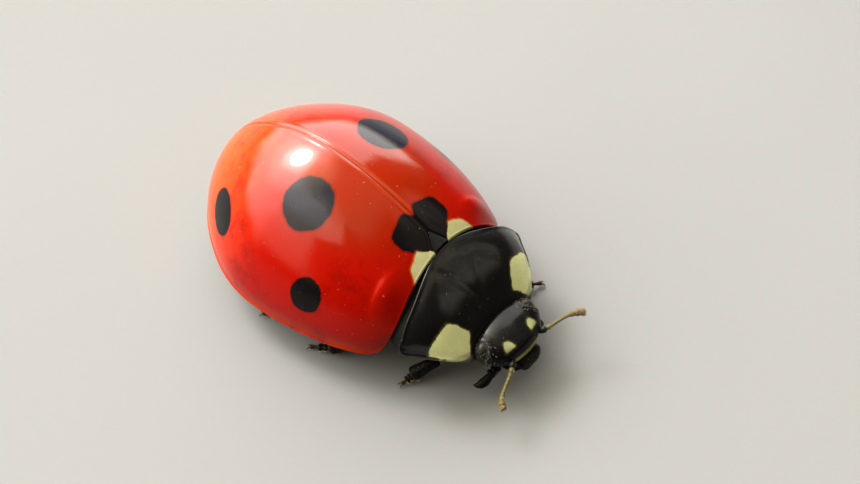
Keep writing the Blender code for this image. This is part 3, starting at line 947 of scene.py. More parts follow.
RIM = ((0.010, 0.003), (0.022, 0.013), (0.031, 0.030), (0.035, 0.052), (0.034, 0.076), (0.028, 0.098),
       (0.016, 0.114), (0.000, 0.122), (-0.03, 0.127), (-0.07, 0.130))
SHIELD_TURN = math.radians(84)  # how far down its sides the shield's arch runs
CORNER_ACROSS, CORNER_ALONG = 0.15, 0.22  # how far in each hind corner's rounding reaches, as shares
KNOB = np.array((1.74, -3.18, 1.34))
KNOB_WIDTH, KNOB_HEIGHT = 0.17, 0.05
CREASE_DEPTH, CREASE_WIDTH = 0.017, 0.09
WAIST_DEPTH, WAIST_PLACE, WAIST_WIDTH = 0.05, 0.85, 0.13  # the hind edge's dips; the last two are shares of u
NECK_CORNER_START, NECK_CORNER_CUT = 0.88, 0.07
SCUTELLUM_THICKNESS, SCUTELLUM_RIM_SCALE = 0.1, 0.35
SHIELD_CREAM_EDGE = (0.07, 0.055, 0.015)


def plate(top, thickness, side_scale=1.0):
    """A closed plate under a grid of points, with a rounded edge all round."""
    rows, columns = top.shape[:2]
    path = edge_path(rows, columns)
    edge = np.array([top[key] for key in path])
    outward = level_sideways(unit(np.roll(edge, -1, axis=0)[:, :2] - np.roll(edge, 1, axis=0)[:, :2]))
    outward *= np.sign(np.sum(outward * (edge - edge.mean(axis=0))))
    rings = [edge + outward * out * side_scale - np.array((0, 0, down * side_scale)) for out, down in RIM]
    inner = settle_on_edge(top - upward_normals(top) * thickness, dict(zip(path, rings[-1])))
    shape = Shape()
    upper = shape.add(top)
    lower = shape.add(inner)
    bands = [np.array([upper[key] for key in path])] + [shape.add(ring) for ring in rings[:-1]]
    bands.append(np.array([lower[key] for key in path]))
    shape.faces += grid_faces(upper)
    shape.faces += tube_faces(np.array(bands))
    shape.faces += [face[::-1] for face in grid_faces(lower)]
    return shape


def shield_hind_y(x):
    """The shield's hind edge, swept forward towards its corners."""
    turn = np.minimum(np.abs(x), SHIELD_HIND_REACH) / SHIELD_HIND_REACH
    return SEAM_Y - 0.015 - SHIELD_HIND_SWEEP * (1 - np.cos(math.pi * turn)) / 2


def neck_y(x):
    return NECK_Y - NECK_BOW * x * x


def shield_grid(u, v):
    """Places on the shield; u runs from -1 on the right to 1 on the left, v from 0 behind to 1 in front."""
    beside = np.maximum(1 - (1 - np.abs(u)) / CORNER_ACROSS, 0)
    behind = np.maximum(1 - v / CORNER_ALONG, 0)
    u = u - np.sign(u) * CORNER_ACROSS * beside * (1 - np.sqrt(1 - behind ** 2 / 2))
    v = v + CORNER_ALONG * behind * (1 - np.sqrt(1 - beside ** 2 / 2))
    angle = u * SHIELD_TURN
    across = np.sin(angle)
    swell = np.sin(math.pi * v)
    half_width = blend(SHIELD_HIND_HALF_WIDTH, SHIELD_FRONT_HALF_WIDTH, v) + SHIELD_SIDE_BULGE * swell
    in_corner = np.maximum((v - NECK_CORNER_START) / (1 - NECK_CORNER_START), 0)
    half_width = half_width - NECK_CORNER_CUT * in_corner ** 2
    waist = WAIST_DEPTH * bump(np.abs(u) - WAIST_PLACE, WAIST_WIDTH)
    hind = shield_hind_y(across * SHIELD_HIND_HALF_WIDTH) + 0.02 - waist
    y = blend(hind, neck_y(across * SHIELD_FRONT_HALF_WIDTH), v)
    arch = np.cos(angle) ** (2 / SHIELD_ARCH)
    crown = blend(*SHIELD_CROWN, v) + SHIELD_PROFILE_BULGE * swell
    edge = blend(*SHIELD_EDGE, v) + SHIELD_EDGE_RISE * swell
    return np.stack([across * half_width, y, blend(edge, crown, arch)], axis=-1)


def shield(settings):
    """The domed shield, with a rim bead and gutter, a knob near each hind corner and two creases."""
    u, v = np.meshgrid(spread(111, 4, 4) * 2 - 1, spread(61, 4, 4), indexing="ij")
    top = shield_grid(u, v)
    from_side = (1 - np.abs(u)) * 1.6
    from_hind = v * 1.2
    rim = np.maximum(bump(from_side, 0.055), 0.8 * bump(from_hind, 0.035))
    gutter = bump(from_side - 0.12, 0.06) + 0.6 * bump(from_hind - 0.08, 0.04)
    across, along = top[..., 0], top[..., 1]
    knobs = KNOB * np.where(top[..., :1] < 0, (-1, 1, 1), (1, 1, 1))
    knob = bump(np.linalg.norm((top - knobs) * (1, 1, 0.8), axis=-1), KNOB_WIDTH)
    creases = bump(np.abs(across) - 0.49 - 0.512 * (along + 2.91), CREASE_WIDTH)
    creases *= ease(along, -3.85, -3.55) * ease(along, -2.70, -2.95) * np.where(across < 0, 1.0, 0.55)
    swell = settings.rim_height / MM * (rim - 0.3 * gutter) + KNOB_HEIGHT * knob
    swell = swell + 0.006 * wander(top, 0.6, 11.3) * ease(from_side, 0.05, 0.3)
    swell = swell - CREASE_DEPTH * creases
    return plate(top + upward_normals(top) * swell[..., None], settings.plate_thickness / MM)


def scutellum():
    """The small three-sided plate between the shield and the wing cases."""
    u, v = np.meshgrid(np.linspace(-1, 1, 25), spread(23, 2, 2), indexing="ij")
    half_width = (SCUTELLUM_HALF_WIDTH - 0.015) * (1 - v) + 0.012
    y = SEAM_Y + 0.03 + (SCUTELLUM_LENGTH - 0.05) * v
    x = u * half_width
    z = dome_z(x * 0, y) - 0.028 + 0.022 * (1 - u * u) * (1 - v)
    return plate(np.stack([x, y, z], axis=-1), SCUTELLUM_THICKNESS, SCUTELLUM_RIM_SCALE)


def shell_normal(nodes, settings, per_mm, width, strength=1.0):
    return pitted(nodes, settings.pit_depth / MM, strength, Per_mm=per_mm, Width=width, Net_per_mm=55.0,
                  Net_depth=0.25)


def shield_material(settings):
    """Dull-glossy black with fine pits, and a cream patch on each front corner, darker towards its lower edge
    as painted shade.
    """
    material, nodes, shader, drift = drifting_material("shield_black", 1.2, 14.0, 0.24, 0.14)
    _, _, z = nodes.split(nodes.mirrored_mm())
    base = nodes.mix(drift["Tone"], settings.black, scaled(settings.black, 2.0))
    cream = nodes.use("Edged mark", **SHIELD_CREAM)
    base = nodes.over(base, cream["Wide mask"], SHIELD_CREAM_EDGE, 0.8)
    warm = nodes.mix(nodes.step(drift["Tone"], 0.4, 0.6), settings.cream, scaled(settings.cream, 0.90))
    # darker cream towards the lower edge of each patch: painted shade
    warm = nodes.over(warm, nodes.step(z, 1.23, 1.15, 0.0, 0.8), scaled(settings.cream, 0.42))
    base = nodes.over(base, nodes.product(cream["Mask"], nodes.step(z, 1.085, 1.125)), warm)
    gloss = nodes.step(drift["Dust"], 1.0, 0.0, 0.0, 0.85)
    normal = shell_normal(nodes, settings, 26.0, 0.35)
    finish_surface(nodes, shader, base, drift, SHIELD_DUST, normal, Coat_Weight=gloss, Coat_Roughness=0.10,
                   Coat_IOR=1.33, Specular_IOR_Level=0.10)
    return material


class LADYBIRD_OT_shield(bpy.types.Operator):
    """Builds the shield behind the head and the small scutellum behind it"""

    bl_idname = "ladybird.shield"
    bl_label = "Shield and scutellum"

    def execute(self, context):
        settings = context.scene.ladybird_shield
        material = shield_material(settings)
        shield(settings).make("shield", material, "shield_black", "pronotum", smooth=70)
        scutellum().make("scutellum_plate", material, "shield_black", "scutellum", smooth=50)
        return {"FINISHED"}


# The body under the shells

FRONT_HIP = np.array((0.30, -3.12, 0.60))
MIDDLE_HIP = np.array((0.46, -1.72, 0.62))
HIND_HIP = np.array((0.42, -0.66, 0.62))
BELLY_PLATE_STARTS = (-0.60, 0.05, 0.62, 1.12, 1.56, 1.96, 2.32)
BELLY_END_Y = 2.66
UNDERSIDE_BOXINESS = 2.6


def rim_half_width(y):
    """Half the width of the wing cases together, at their rim, at y."""
    angles = np.linspace(-math.pi / 2, math.pi / 2, 4000)
    x, along = dome_outline(angles)
    return np.interp(y, along, x)


def trunk_rings(ys, half_width, side_z, top_z, bottom_z, boxiness=1.8):
    """Rings across the body: domed above the side line and flatter below it."""
    turn = np.linspace(0, 2 * math.pi, 72, endpoint=False)
    cosine, sine = np.cos(turn), np.sin(turn)
    length = oval_reach(cosine, sine, np.where(sine > 0, boxiness, UNDERSIDE_BOXINESS))
    across, rise = cosine * length, sine * length
    columns = [np.asarray(value, float)[:, None] for value in (half_width, side_z, top_z, bottom_z, ys)]
    wide, side, top, bottom, along = columns
    z = side + np.where(rise > 0, (top - side) * rise, (side - bottom) * rise)
    return np.stack([wide * across, along + 0 * z, z], axis=-1)


def hip_joint(centre, side, half=(0.20, 0.17, 0.19)):
    """A rounded hip joint."""
    def change(points):
        return turned(points * half, side * math.radians(20)) + centre * (side, 1, 1)
    return reshape_bmesh(ball(9, 2.2), change)


def front_breast():
    ys = np.linspace(-3.955, -2.98, 34)
    v = (ys - (SEAM_Y - 0.2)) / (NECK_Y - SEAM_Y + 0.2)
    swell = np.sin(math.pi * np.clip(v, 0, 1))
    half_width = blend(1.66, 0.80, v) + SHIELD_SIDE_BULGE * swell - 0.06
    crown = blend(2.34, 1.42, v) + SHIELD_PROFILE_BULGE * swell - 0.20
    side = blend(1.20, 1.02, v)
    bottom = blend(0.66, 0.74, v)
    shape = Shape().tube(trunk_rings(ys, half_width, side, crown, bottom, boxiness=1.9))
    for side_sign in SIDES.values():
        shape.mesh_of(hip_joint(FRONT_HIP, side_sign))
    keel = [(0, y, 0.70 - 0.05 * math.sin(math.pi * (y + 3.75) / 0.9)) for y in np.linspace(-3.72, -2.90, 14)]
    return shape.tube(sweep(keel, np.full(14, 0.10), np.full(14, 0.05), 14))


def middle_breast():
    ys = np.concatenate([np.linspace(-3.16, -2.5, 16), np.linspace(-2.42, WAIST_Y, 30)])
    rim = rim_half_width(np.maximum(ys, -2.55))
    half_width = np.where(ys > -2.6, blend(1.62, rim - 0.30, ease(ys, -2.8, -1.9)), 1.62)
    under_dome = dome_z(0 * ys, np.maximum(ys, -2.72)) - 0.24
    top = under_dome - 0.45 * np.maximum(-2.72 - ys, 0)
    side = blend(1.24, 0.98, ease(ys, -3.0, -2.0))
    bottom = 0.60 + 0.10 * ease(ys, -2.7, -3.16)
    shape = Shape().tube(trunk_rings(ys, half_width, side, top, bottom))
    for side_sign in SIDES.values():
        shape.mesh_of(hip_joint(MIDDLE_HIP, side_sign))
        shape.mesh_of(hip_joint(HIND_HIP, side_sign, (0.30, 0.15, 0.17)))
    return shape


def belly():
    ys, steps = [], []
    for start, end in zip(BELLY_PLATE_STARTS, BELLY_PLATE_STARTS[1:] + (BELLY_END_Y,)):
        share_along = np.array((0.0, 0.06, 0.2, 0.45, 0.7, 0.9, 0.97))
        ys.extend(blend(start, end, share_along))
        steps.extend(np.interp(share_along, (0, 0.06, 0.9, 1), (0.0, 0.006, 0.022, 0.0)))
    ys, steps = np.array(ys), np.array(steps)
    rim = rim_half_width(ys)
    half_width = (rim - 0.34) * (1 - 0.9 * ease(ys, 2.35, 2.75))
    top = dome_z(0 * ys, ys + 0.05) - 0.24
    side = np.full(len(ys), 0.95)
    bottom = 0.60 + 0.22 * ease(ys, 1.2, 2.7) - steps
    return Shape().tube(trunk_rings(ys, half_width, side, np.maximum(top, 1.02), bottom))


def under_material(settings):
    """Dull black plates with fine pits, browner here and there, and a cream mark on each flank."""
    material, nodes, shader, drift = drifting_material("underside_black", 1.6, 16.0, 0.45)
    _, _, z = nodes.split(nodes.mirrored_mm())
    base = nodes.mix(drift["Tone"], settings.black, (0.010, 0.008, 0.006))
    flank = nodes.use("Edged mark", **FLANK_CREAM)
    base = nodes.over(base, nodes.product(flank["Mask"], nodes.step(z, 1.15, 1.0)), settings.cream)
    normal = shell_normal(nodes, settings, 18.0, 0.45, 1.6)
    finish_surface(nodes, shader, base, drift, UNDERSIDE_DUST, normal, Specular_IOR_Level=0.12)
    return material


class LADYBIRD_OT_underside(bpy.types.Operator):
    """Builds the breast and the belly with the hips"""

    bl_idname = "ladybird.underside"
    bl_label = "Underside"

    def execute(self, context):
        material = under_material(context.scene.ladybird_shield)
        front_breast().make("breast_front", material, "body_black", "prosternum")
        middle_breast().make("breast_middle", material, "body_black", "thorax")
        belly().make("belly", material, "body_black", "abdomen", smooth=40)
        return {"FINISHED"}


# Head, eyes and mouth

FACE_EDGE_Y = -4.895
FACE_EDGE_HALF_WIDTH = 0.33
SOCKET = np.array((0.44, -4.74, 0.96))  # where a feeler leaves the head
SOCKET_DEPTH, SOCKET_WIDTH = 0.050, 0.10
DENT = np.array((0.20, -4.62, 1.28))  # one of the two shallow dents on the forehead
DENT_DEPTH, DENT_WIDTH = 0.012, 0.16
JAW_LINE = ((0.27, -4.42, 0.46), (0.31, -4.72, 0.44), (0.12, -4.82, 0.40), (0.03, -4.80, 0.38))
PALP_JOINTS = ((0.14, 0.094, 0.086), (0.29, 0.102, 0.088), (0.44, 0.102, 0.090))
# the lens net's tone is a painted sheen
FACE_MARK_EDGE, FRONT_LINE_CREAM, LENS_NET_SHEEN = (0.06, 0.045, 0.012), (0.22, 0.21, 0.065), (0.020, 0.017, 0.013)
JAW_TOOTH_LINE = ((0.16, -4.72, 0.36), (0.09, -4.75, 0.33), (0.04, -4.74, 0.32))


def eye_place(points, side):
    return turned(points * EYE_HALF * 0.96, EYE_TURN * side) + EYE_CENTRE * (side, 1, 1)


def eye_distance(points, side):
    """How far out from an eye's surface places are, as a share of the eye's size."""
    offset = turned(points - EYE_CENTRE * (side, 1, 1), -EYE_TURN * side)
    return np.linalg.norm(offset / EYE_HALF, axis=-1)


def carve_head(points, settings):
    """Gives the rounded block a straight front edge, a step down to the lip, eye rims and feeler pits."""
    outward = unit(points)
    placed = points * HEAD_HALF + HEAD_CENTRE
    mirrored = np.abs(placed * (1, 0, 0)) + placed * (0, 1, 1)
    change = np.zeros(len(placed))
    for side in SIDES.values():
        change += settings.rim_round_eye / MM * bump(eye_distance(placed, side) - 1.05, 0.25)
    socket = np.linalg.norm(mirrored - SOCKET, axis=-1)
    change -= SOCKET_DEPTH * bump(socket, SOCKET_WIDTH)
    change += 0.016 * bump(socket - 0.14, 0.05)
    change -= DENT_DEPTH * bump(np.linalg.norm((mirrored - DENT) * (1, 1, 0.6), axis=-1), DENT_WIDTH)
    placed = placed + outward * change[:, None]
    central = ease(np.abs(placed[:, 0]), FACE_EDGE_HALF_WIDTH + 0.12, FACE_EDGE_HALF_WIDTH - 0.04)
    front = ease(placed[:, 1], -4.62, -4.80)
    bow = 0.035 * (placed[:, 0] / FACE_EDGE_HALF_WIDTH) ** 2
    straight = np.minimum(placed[:, 1], FACE_EDGE_Y + bow + 0.10 * ease(placed[:, 2], 0.98, 1.22))
    placed[:, 1] = blend(placed[:, 1], straight, central * front * ease(placed[:, 2], 0.86, 0.90))
    placed[:, 1] += 0.07 * central * front * ease(placed[:, 2], 0.90, 0.85)
    behind = ease(placed[:, 1], neck_y(placed[:, 0]) - 0.06, neck_y(placed[:, 0]) + 0.10)[:, None]
    tucked = HEAD_CENTRE + (placed - HEAD_CENTRE) * (0.92, 1, 0.70)
    return blend(placed, tucked, behind)


def head(settings):
    return Shape(reshape_bmesh(ball(63, HEAD_BOXINESS), lambda points: carve_head(points, settings)))


def eye(side, settings):
    """A ball of small lenses: every point of a coarse ball stands out from the finer one."""
    bm = bmesh.new()
    bmesh.ops.create_icosphere(bm, subdivisions=5, radius=1)
    coarse = bmesh.new()
    bmesh.ops.create_icosphere(coarse, subdivisions=4, radius=1)
    peaks = np.array([vert.co for vert in coarse.verts])
    coarse.free()
    points = np.array([vert.co for vert in bm.verts])
    raised = np.array([np.min(np.abs(peaks - point).sum(axis=1)) < 1e-4 for point in points])
    grown = points * (1 + raised * (settings.lens_height / MM / EYE_HALF[0]))[:, None]
    return Shape(reshape_bmesh(bm, lambda _: eye_place(grown, side)))


def lip():
    """The upper lip: a rounded plate that bends down, with a shallow notch in front."""
    def change(points):
        placed = points * LIP_HALF * (0.95, 0.88, 0.75)
        front = ease(points[:, 1], 0.0, -1.0)
        placed[:, 2] -= 0.10 * front ** 2
        placed[:, 1] += 0.012 * bump(points[:, 0], 0.30) * front
        return placed + LIP_CENTRE

    return Shape(reshape_bmesh(ball(24, 2.4), change))


def jaw(side):
    """A jaw like a bent wedge with two teeth at its tip."""
    amounts = np.linspace(0, 1, 18)
    path = bezier(JAW_LINE, amounts) * (side, 1, 1)
    width = 0.8 * (0.105 * (1 - amounts ** 2.2) + 0.012)
    shape = Shape().tube(rod(path, width, 16))
    amounts = amounts[::3]
    tooth = bezier(JAW_TOOTH_LINE, amounts) * (side, 1, 1)
    return shape.tube(sweep(tooth, 0.045 * (1 - amounts) + 0.006, 0.04 * (1 - amounts) + 0.006, 10))


def segmented(path_of, joints, sides, neck):
    """Rings of a limb; joints says where each segment ends, and half widths there and at its start."""
    rings, widths = [], []
    start = 0.0
    for end, swell, foot in joints:
        amounts = np.linspace(0, 1, 9)
        profile = np.interp(amounts, (0, 0.10, 0.35, 0.75, 0.93, 1), (neck, 0.88, 0.98, 1.0, 0.94, neck))
        widths.extend(profile * blend(foot, swell, amounts ** 0.8))
        rings.extend(blend(start, end, amounts * 0.985))
        start = end
    return rod(path_of(np.array(rings)), widths, sides), np.array(rings)


def palp(word):
    """A feeding palp of four segments, the last a long flat blade that widens to one side."""
    base, tip = (np.array(end) for end in PALPS[word])
    middle = blend(base, tip, 0.45) + (0, -0.05, 0.02)
    rings, _ = segmented(lambda t: bezier((base, middle, tip), t), PALP_JOINTS, sides=14, neck=0.86)
    reach = spread(20, 2, 5)
    path = bezier((base, middle, tip), blend(0.42, 1.0, reach))
    width = np.interp(reach, (0, 0.12, 0.45, 0.72, 0.9, 1), (0.066, 0.078, 0.098, 0.090, 0.052, 0.010))
    depth = 0.062 * np.sqrt(np.clip(1 - ease(reach, 0.70, 1.05), 0.04, 1))
    path = path + np.outer(width - 0.060, (0.24 * SIDES[word], -0.97, -0.1))
    return Shape().tube(rings).tube(sweep(path, width, depth, 20, (SIDES[word] * 0.5, -0.3, 1)))


def face_material(settings):
    """Black with close pits, two cream marks between the eyes, darkened as painted shade, and a cream line
    along the front edge.
    """
    material, nodes, shader, drift = drifting_material("head_black", 1.5, 18.0, 0.26)
    x, y, z = nodes.split(nodes.mirrored_mm())
    base = nodes.mix(drift["Tone"], settings.black, scaled(settings.black, 2.5))
    marks = nodes.use("Edged mark", **FACE_CREAM)
    above = nodes.step(z, 0.95, 1.0)
    base = nodes.over(base, nodes.product(marks["Wide mask"], above), FACE_MARK_EDGE, 0.7)
    # the marks' cream is darkened as painted shade
    base = nodes.over(base, nodes.product(marks["Mask"], above), scaled(settings.cream, 0.31))
    front_line = nodes.product(nodes.step(z, 0.850, 0.870), nodes.step(z, 1.035, 1.005),
                               nodes.step(x, 0.38, 0.34), nodes.step(y, -4.79, -4.82))
    base = nodes.over(base, front_line, FRONT_LINE_CREAM)
    gloss = nodes.step(y, -4.72, -4.42, 0.10, 0.30)
    normal = shell_normal(nodes, settings, 24.0, 0.5, 0.9)
    finish_surface(nodes, shader, base, drift, FACE_DUST, normal, Coat_Weight=gloss, Coat_Roughness=0.10,
                   Coat_IOR=1.36, Specular_IOR_Level=0.05)
    return material


def eye_material(head_settings):
    """Nearly black, with a paler painted sheen on the net between the lenses."""
    material, nodes, shader, drift = drifting_material("eye_black", 3.0, 30.0, 0.28)
    net = nodes.cells(nodes.place_mm(), 38.0, "DISTANCE_TO_EDGE")
    # paler net between the lenses: painted sheen
    base = nodes.mix(nodes.step(net, 0.2, 0.0, 0.0, 0.5), head_settings.eye, LENS_NET_SHEEN)
    normal = nodes.bumped(net, 0.0015, 0.8)
    finish_surface(nodes, shader, base, drift, EYE_DUST, normal, Specular_IOR_Level=0.14)
    return material


class LADYBIRD_OT_head(bpy.types.Operator):
    """Builds the head capsule and the eyes"""

    bl_idname = "ladybird.head"
    bl_label = "Head and eyes"

    def execute(self, context):
        settings = context.scene.ladybird_head
        material = face_material(context.scene.ladybird_shield)
        head(settings).make("head_capsule", material, "shield_black", "head")
        lenses = eye_material(settings)
        for word, side in SIDES.items():
            eye(side, settings).make(f"lens_eye_{word}", lenses, "eye_black", f"eye_{word}")
        return {"FINISHED"}


class LADYBIRD_OT_mouth(bpy.types.Operator):
    """Builds the lip, the jaws and the palps"""

    bl_idname = "ladybird.mouth"
    bl_label = "Mouth"

    def execute(self, context):
        horn = limb_material("mouth_black", context.scene.ladybird_limbs, 0.25)
        lip().make("upper_lip", horn, "shield_black", "labrum")
        for word, side in SIDES.items():
            jaw(side).make(f"jaw_{word}", horn, "body_black", f"mandible_{word}")
            palp(word).make(f"feeding_palp_{word}", horn, "leg_black", f"palp_{word}")
        return {"FINISHED"}


# Feelers and legs

# where each segment of a feeler ends, and its half widths there and at its start
FEELER_JOINTS = ((0.17, 0.082, 0.060), (0.27, 0.054, 0.048), (0.36, 0.040, 0.036), (0.44, 0.038, 0.034),
                 (0.515, 0.038, 0.034), (0.585, 0.039, 0.034), (0.65, 0.041, 0.035), (0.71, 0.046, 0.037),
                 (0.80, 0.062, 0.046), (0.895, 0.074, 0.060), (0.985, 0.072, 0.068))
STALK_HALF_WIDTH = 0.042  # what the widths in FEELER_JOINTS are meant for
SOLE_BROWN = (0.34, 0.28, 0.17)
ANKLE_DROP = np.array((0, 0, 0.05))
THIGH_OUTLINE = ((0, 0.05, 0.18, 0.45, 0.75, 0.93, 1), (0.40, 0.62, 0.80, 1.0, 0.94, 0.72, 0.45))
SHIN_OUTLINE = ((0, 0.06, 0.2, 0.6, 0.9, 0.97, 1), (0.45, 0.80, 0.88, 1.05, 1.22, 1.15, 0.7))
CLAW_LINE = ((0, 0, 0), (0.06, 0.04, 0.02), (0.10, 0.06, -0.03), (0.095, 0.05, -0.072))  # ahead, out and up


def limb_material(name, settings, roughness):
    """Black horn, brown where a piece's own tint says so, and pale on the soles."""
    material, nodes, shader, drift = drifting_material(name, 3.0, 22.0, roughness)
    tint = nodes.tint()
    base = nodes.mix(drift["Tone"], settings.black, scaled(settings.black, 1.8))
    brown = nodes.mix(drift["Tone"], settings.brown, scaled(settings.brown, 0.4))
    base = nodes.over(base, nodes.step(tint, 0.3, 0.8), brown)
    base = nodes.over(base, nodes.step(tint, 0.9, 0.97), SOLE_BROWN)
    normal = pitted(nodes, 0.003, Per_mm=30.0, Width=0.45, Net_per_mm=60.0, Net_depth=0.4)
    finish_surface(nodes, shader, base, drift, LEG_DUST, normal, Specular_IOR_Level=0.07)
    return material


def feeler_material(settings):
    """Golden stalk, darker at the first segment and the club."""
    material, nodes, shader, drift = drifting_material("feeler_brown", 4.0, 24.0, 0.42)
    along = nodes.tint()
    base = nodes.mix(drift["Tone"], settings.feeler_gold, scaled(settings.feeler_gold, 0.45))
    base = nodes.over(base, nodes.step(along, 0.66, 0.93), settings.feeler_dark)
    base = nodes.over(base, nodes.step(along, 0.23, 0.17), settings.black)
    normal = pitted(nodes, 0.003, 1.2, Per_mm=34.0, Width=0.5, Net_per_mm=70.0, Net_depth=0.4)
    finish_surface(nodes, shader, base, drift, FEELER_DUST, normal, Specular_IOR_Level=0.25)
    return material


def feeler(word, settings):
    thickness = settings.feeler / MM / STALK_HALF_WIDTH
    joints = [(end, swell * thickness, foot * thickness) for end, swell, foot in FEELER_JOINTS]
    rings, amounts = segmented(lambda t: bezier(FEELERS[word], t), joints, sides=16, neck=0.84)
    return Shape().tube(rings, amounts)


def leg_points(name):
    return [np.array(joint) for joint in LEGS[name]]


def thigh(name, settings):
    hip, knee, _, _ = leg_points(name)
    amounts = np.linspace(0, 1, 26)
    path = blend(hip, knee, amounts[:, None] * 0.99)
    path[:, 2] += 0.05 * np.sin(math.pi * amounts)
    width = np.interp(amounts, *THIGH_OUTLINE) * settings.thigh / MM
    return Shape().tube(sweep(path, width * 1.08, width * 0.90, 22), 0.25 * ease(amounts, 0.9, 1.0))


def shin(name, settings):
    """Wider towards the foot, with a pale brush inside its tip and two spurs."""
    _, knee, ankle, _ = leg_points(name)
    amounts = np.linspace(0, 1, 26)
    lowered = ankle - ANKLE_DROP
    path = blend(knee, lowered, amounts[:, None])
    path[:, 2] += 0.035 * np.sin(math.pi * amounts)
    width = np.interp(amounts, *SHIN_OUTLINE) * settings.shin / MM
    shape = Shape().tube(sweep(path, width, width * 1.1, 20), 0.6 * ease(amounts, 0.8, 1.0))
    ahead = unit(lowered - knee)
    sideways = unit(np.cross(ahead, (0, 0, 1)))
    low = unit(np.cross(ahead, np.cross((0, -0.85, -0.5), ahead)))
    fringe = path[10:] + np.outer(width[10:] * 0.93, low)
    swell = np.interp(amounts[10:], (0.4, 0.8, 0.93, 1.0), (0.006, 0.018, 0.042, 0.016))
    shape.tube(rod(fringe, swell, 12), 1.0)
    for turn in (-1, 1):
        root = lowered + sideways * turn * 0.055 - ahead * 0.03
        shape.tube(thorn(root, ahead * 0.10 + sideways * turn * 0.02 - (0, 0, 0.03)), 0.9)
    return shape


def thorn(root, reach):
    """A short straight spike."""
    amounts = np.linspace(0, 1, 5)
    return rod(root + np.outer(amounts, reach), blend(0.014, 0.003, amounts), 8)


def foot(name):
    """Three visible segments, the first two with broad soles, and a pair of claws."""
    _, _, ankle, toe = leg_points(name)
    start = ankle - ANKLE_DROP
    ahead = unit((toe - ankle) * (1, 1, 0))
    sideways = np.cross(ahead, (0, 0, 1))
    end = toe * (1, 1, 0) + (0, 0, 0.085)
    middle = blend(start, end, 0.5) - (0, 0, 0.03)
    amounts = np.linspace(0, 1, 12)
    shape = Shape()
    for low, high, soled in ((0.02, 0.30, True), (0.30, 0.58, True), (0.58, 1.0, False)):
        path = bezier((start, middle, end), blend(low, high, amounts))
        if soled:
            swell = 0.060 + 0.035 * ease(amounts, 0.1, 0.85) - 0.03 * ease(amounts, 0.88, 1.0)
            flat = 0.046 + 0.014 * ease(amounts, 0.2, 0.8)
            shape.tube(sweep(path, swell, flat, 16), 0.30)
            shape.tube(sweep(path[2:] - (0, 0, 0.034), swell[2:] * 1.08, flat[2:] * 0.55, 14), 1.0)
        else:
            shape.tube(rod(path, 0.030 + 0.016 * ease(amounts, 0.3, 0.95), 16), 0.50)
    for turn in (-1, 1):
        root = end - ahead * 0.02
        claw = bezier([root + ahead * forward + sideways * turn * out + (0, 0, up)
                       for forward, out, up in CLAW_LINE], amounts)
        shape.tube(rod(claw, blend(0.020, 0.003, amounts), 10), 0.8)
        shape.tube(thorn(claw[4], ahead * 0.02 - (0, 0, 0.035)), 0.8)
    return shape


class LADYBIRD_OT_feelers(bpy.types.Operator):
    """Builds the two feelers"""

    bl_idname = "ladybird.feelers"
    bl_label = "Feelers"

    def execute(self, context):
        settings = context.scene.ladybird_limbs
        material = feeler_material(settings)
        for word in SIDES:
            feeler(word, settings).make(f"feeler_{word}", material, "feeler_brown", f"antenna_{word}")
        return {"FINISHED"}


class LADYBIRD_OT_legs(bpy.types.Operator):
    """Builds the thigh, shin and foot of each leg"""

    bl_idname = "ladybird.legs"
    bl_label = "Legs"

    def execute(self, context):
        settings = context.scene.ladybird_limbs
        material = limb_material("leg_black", settings, 0.34)
        for name in LEGS:
            thigh(name, settings).make(f"thigh_{name}", material, "leg_black", f"leg_{name}_femur")
            shin(name, settings).make(f"shin_{name}", material, "leg_black", f"leg_{name}_tibia")
            foot(name).make(f"foot_{name}", material, "leg_black", f"leg_{name}_foot")
        return {"FINISHED"}
# Hairs

ROOT_DEPTH = 0.012  # how deep a hair's root is in the skin
FLAT_HALF_WIDTH = 0.0015  # how far a hair's own patch reaches on the unrolled skin
OFF_FLOOR = 0.004
THIRDS = (0, 2.094, 4.189)  # the turns to a hair's three sides


def unroll(points, path, tile, size):
    """Where places on a skin lie on an unrolling of it, along its middle line and round that line."""
    nearest = np.argmin(np.linalg.norm(points[:, None] - path[None], axis=-1), axis=1)
    ahead = unit(np.gradient(path, axis=0))[nearest]
    sideways = unit(np.cross(ahead, (0.31, 0.12, 1)))
    offset = points - path[nearest]
    along = nearest + np.sum(offset * ahead, axis=-1) / np.linalg.norm(path[1] - path[0])
    turn = np.arctan2(np.sum(offset * sideways, axis=-1), np.sum(offset * np.cross(sideways, ahead), axis=-1))
    flat = np.stack([along / (len(path) - 1), 0.5 + turn / (2 * math.pi)], axis=-1)
    return np.asarray(tile) + np.clip(flat, 0.01, 0.99) * size, ahead


def scatter(shape, path, count, weigh, draw):
    """Random places on a shape round a middle line, and the outward way at each."""
    quads = np.array([(*face[:3], face[-1]) for face in shape.faces if len(face) < 5])
    corners = np.array(shape.points)[quads]
    centre = corners.mean(axis=1)
    across = np.cross(corners[:, 2] - corners[:, 0], corners[:, 3] - corners[:, 1])
    nearest = np.argmin(np.linalg.norm(centre[:, None] - path[None], axis=-1), axis=1)
    across *= np.sign(np.sum(across * (centre - path[nearest]), axis=-1))[:, None]
    weight = np.linalg.norm(across, axis=-1) * weigh(centre)
    chosen = draw.choice(len(quads), count, p=weight / weight.sum())
    mixed = np.einsum("nk,nkc->nc", draw.dirichlet((1, 1, 1, 1), count), corners[chosen])
    return mixed, unit(across[chosen])


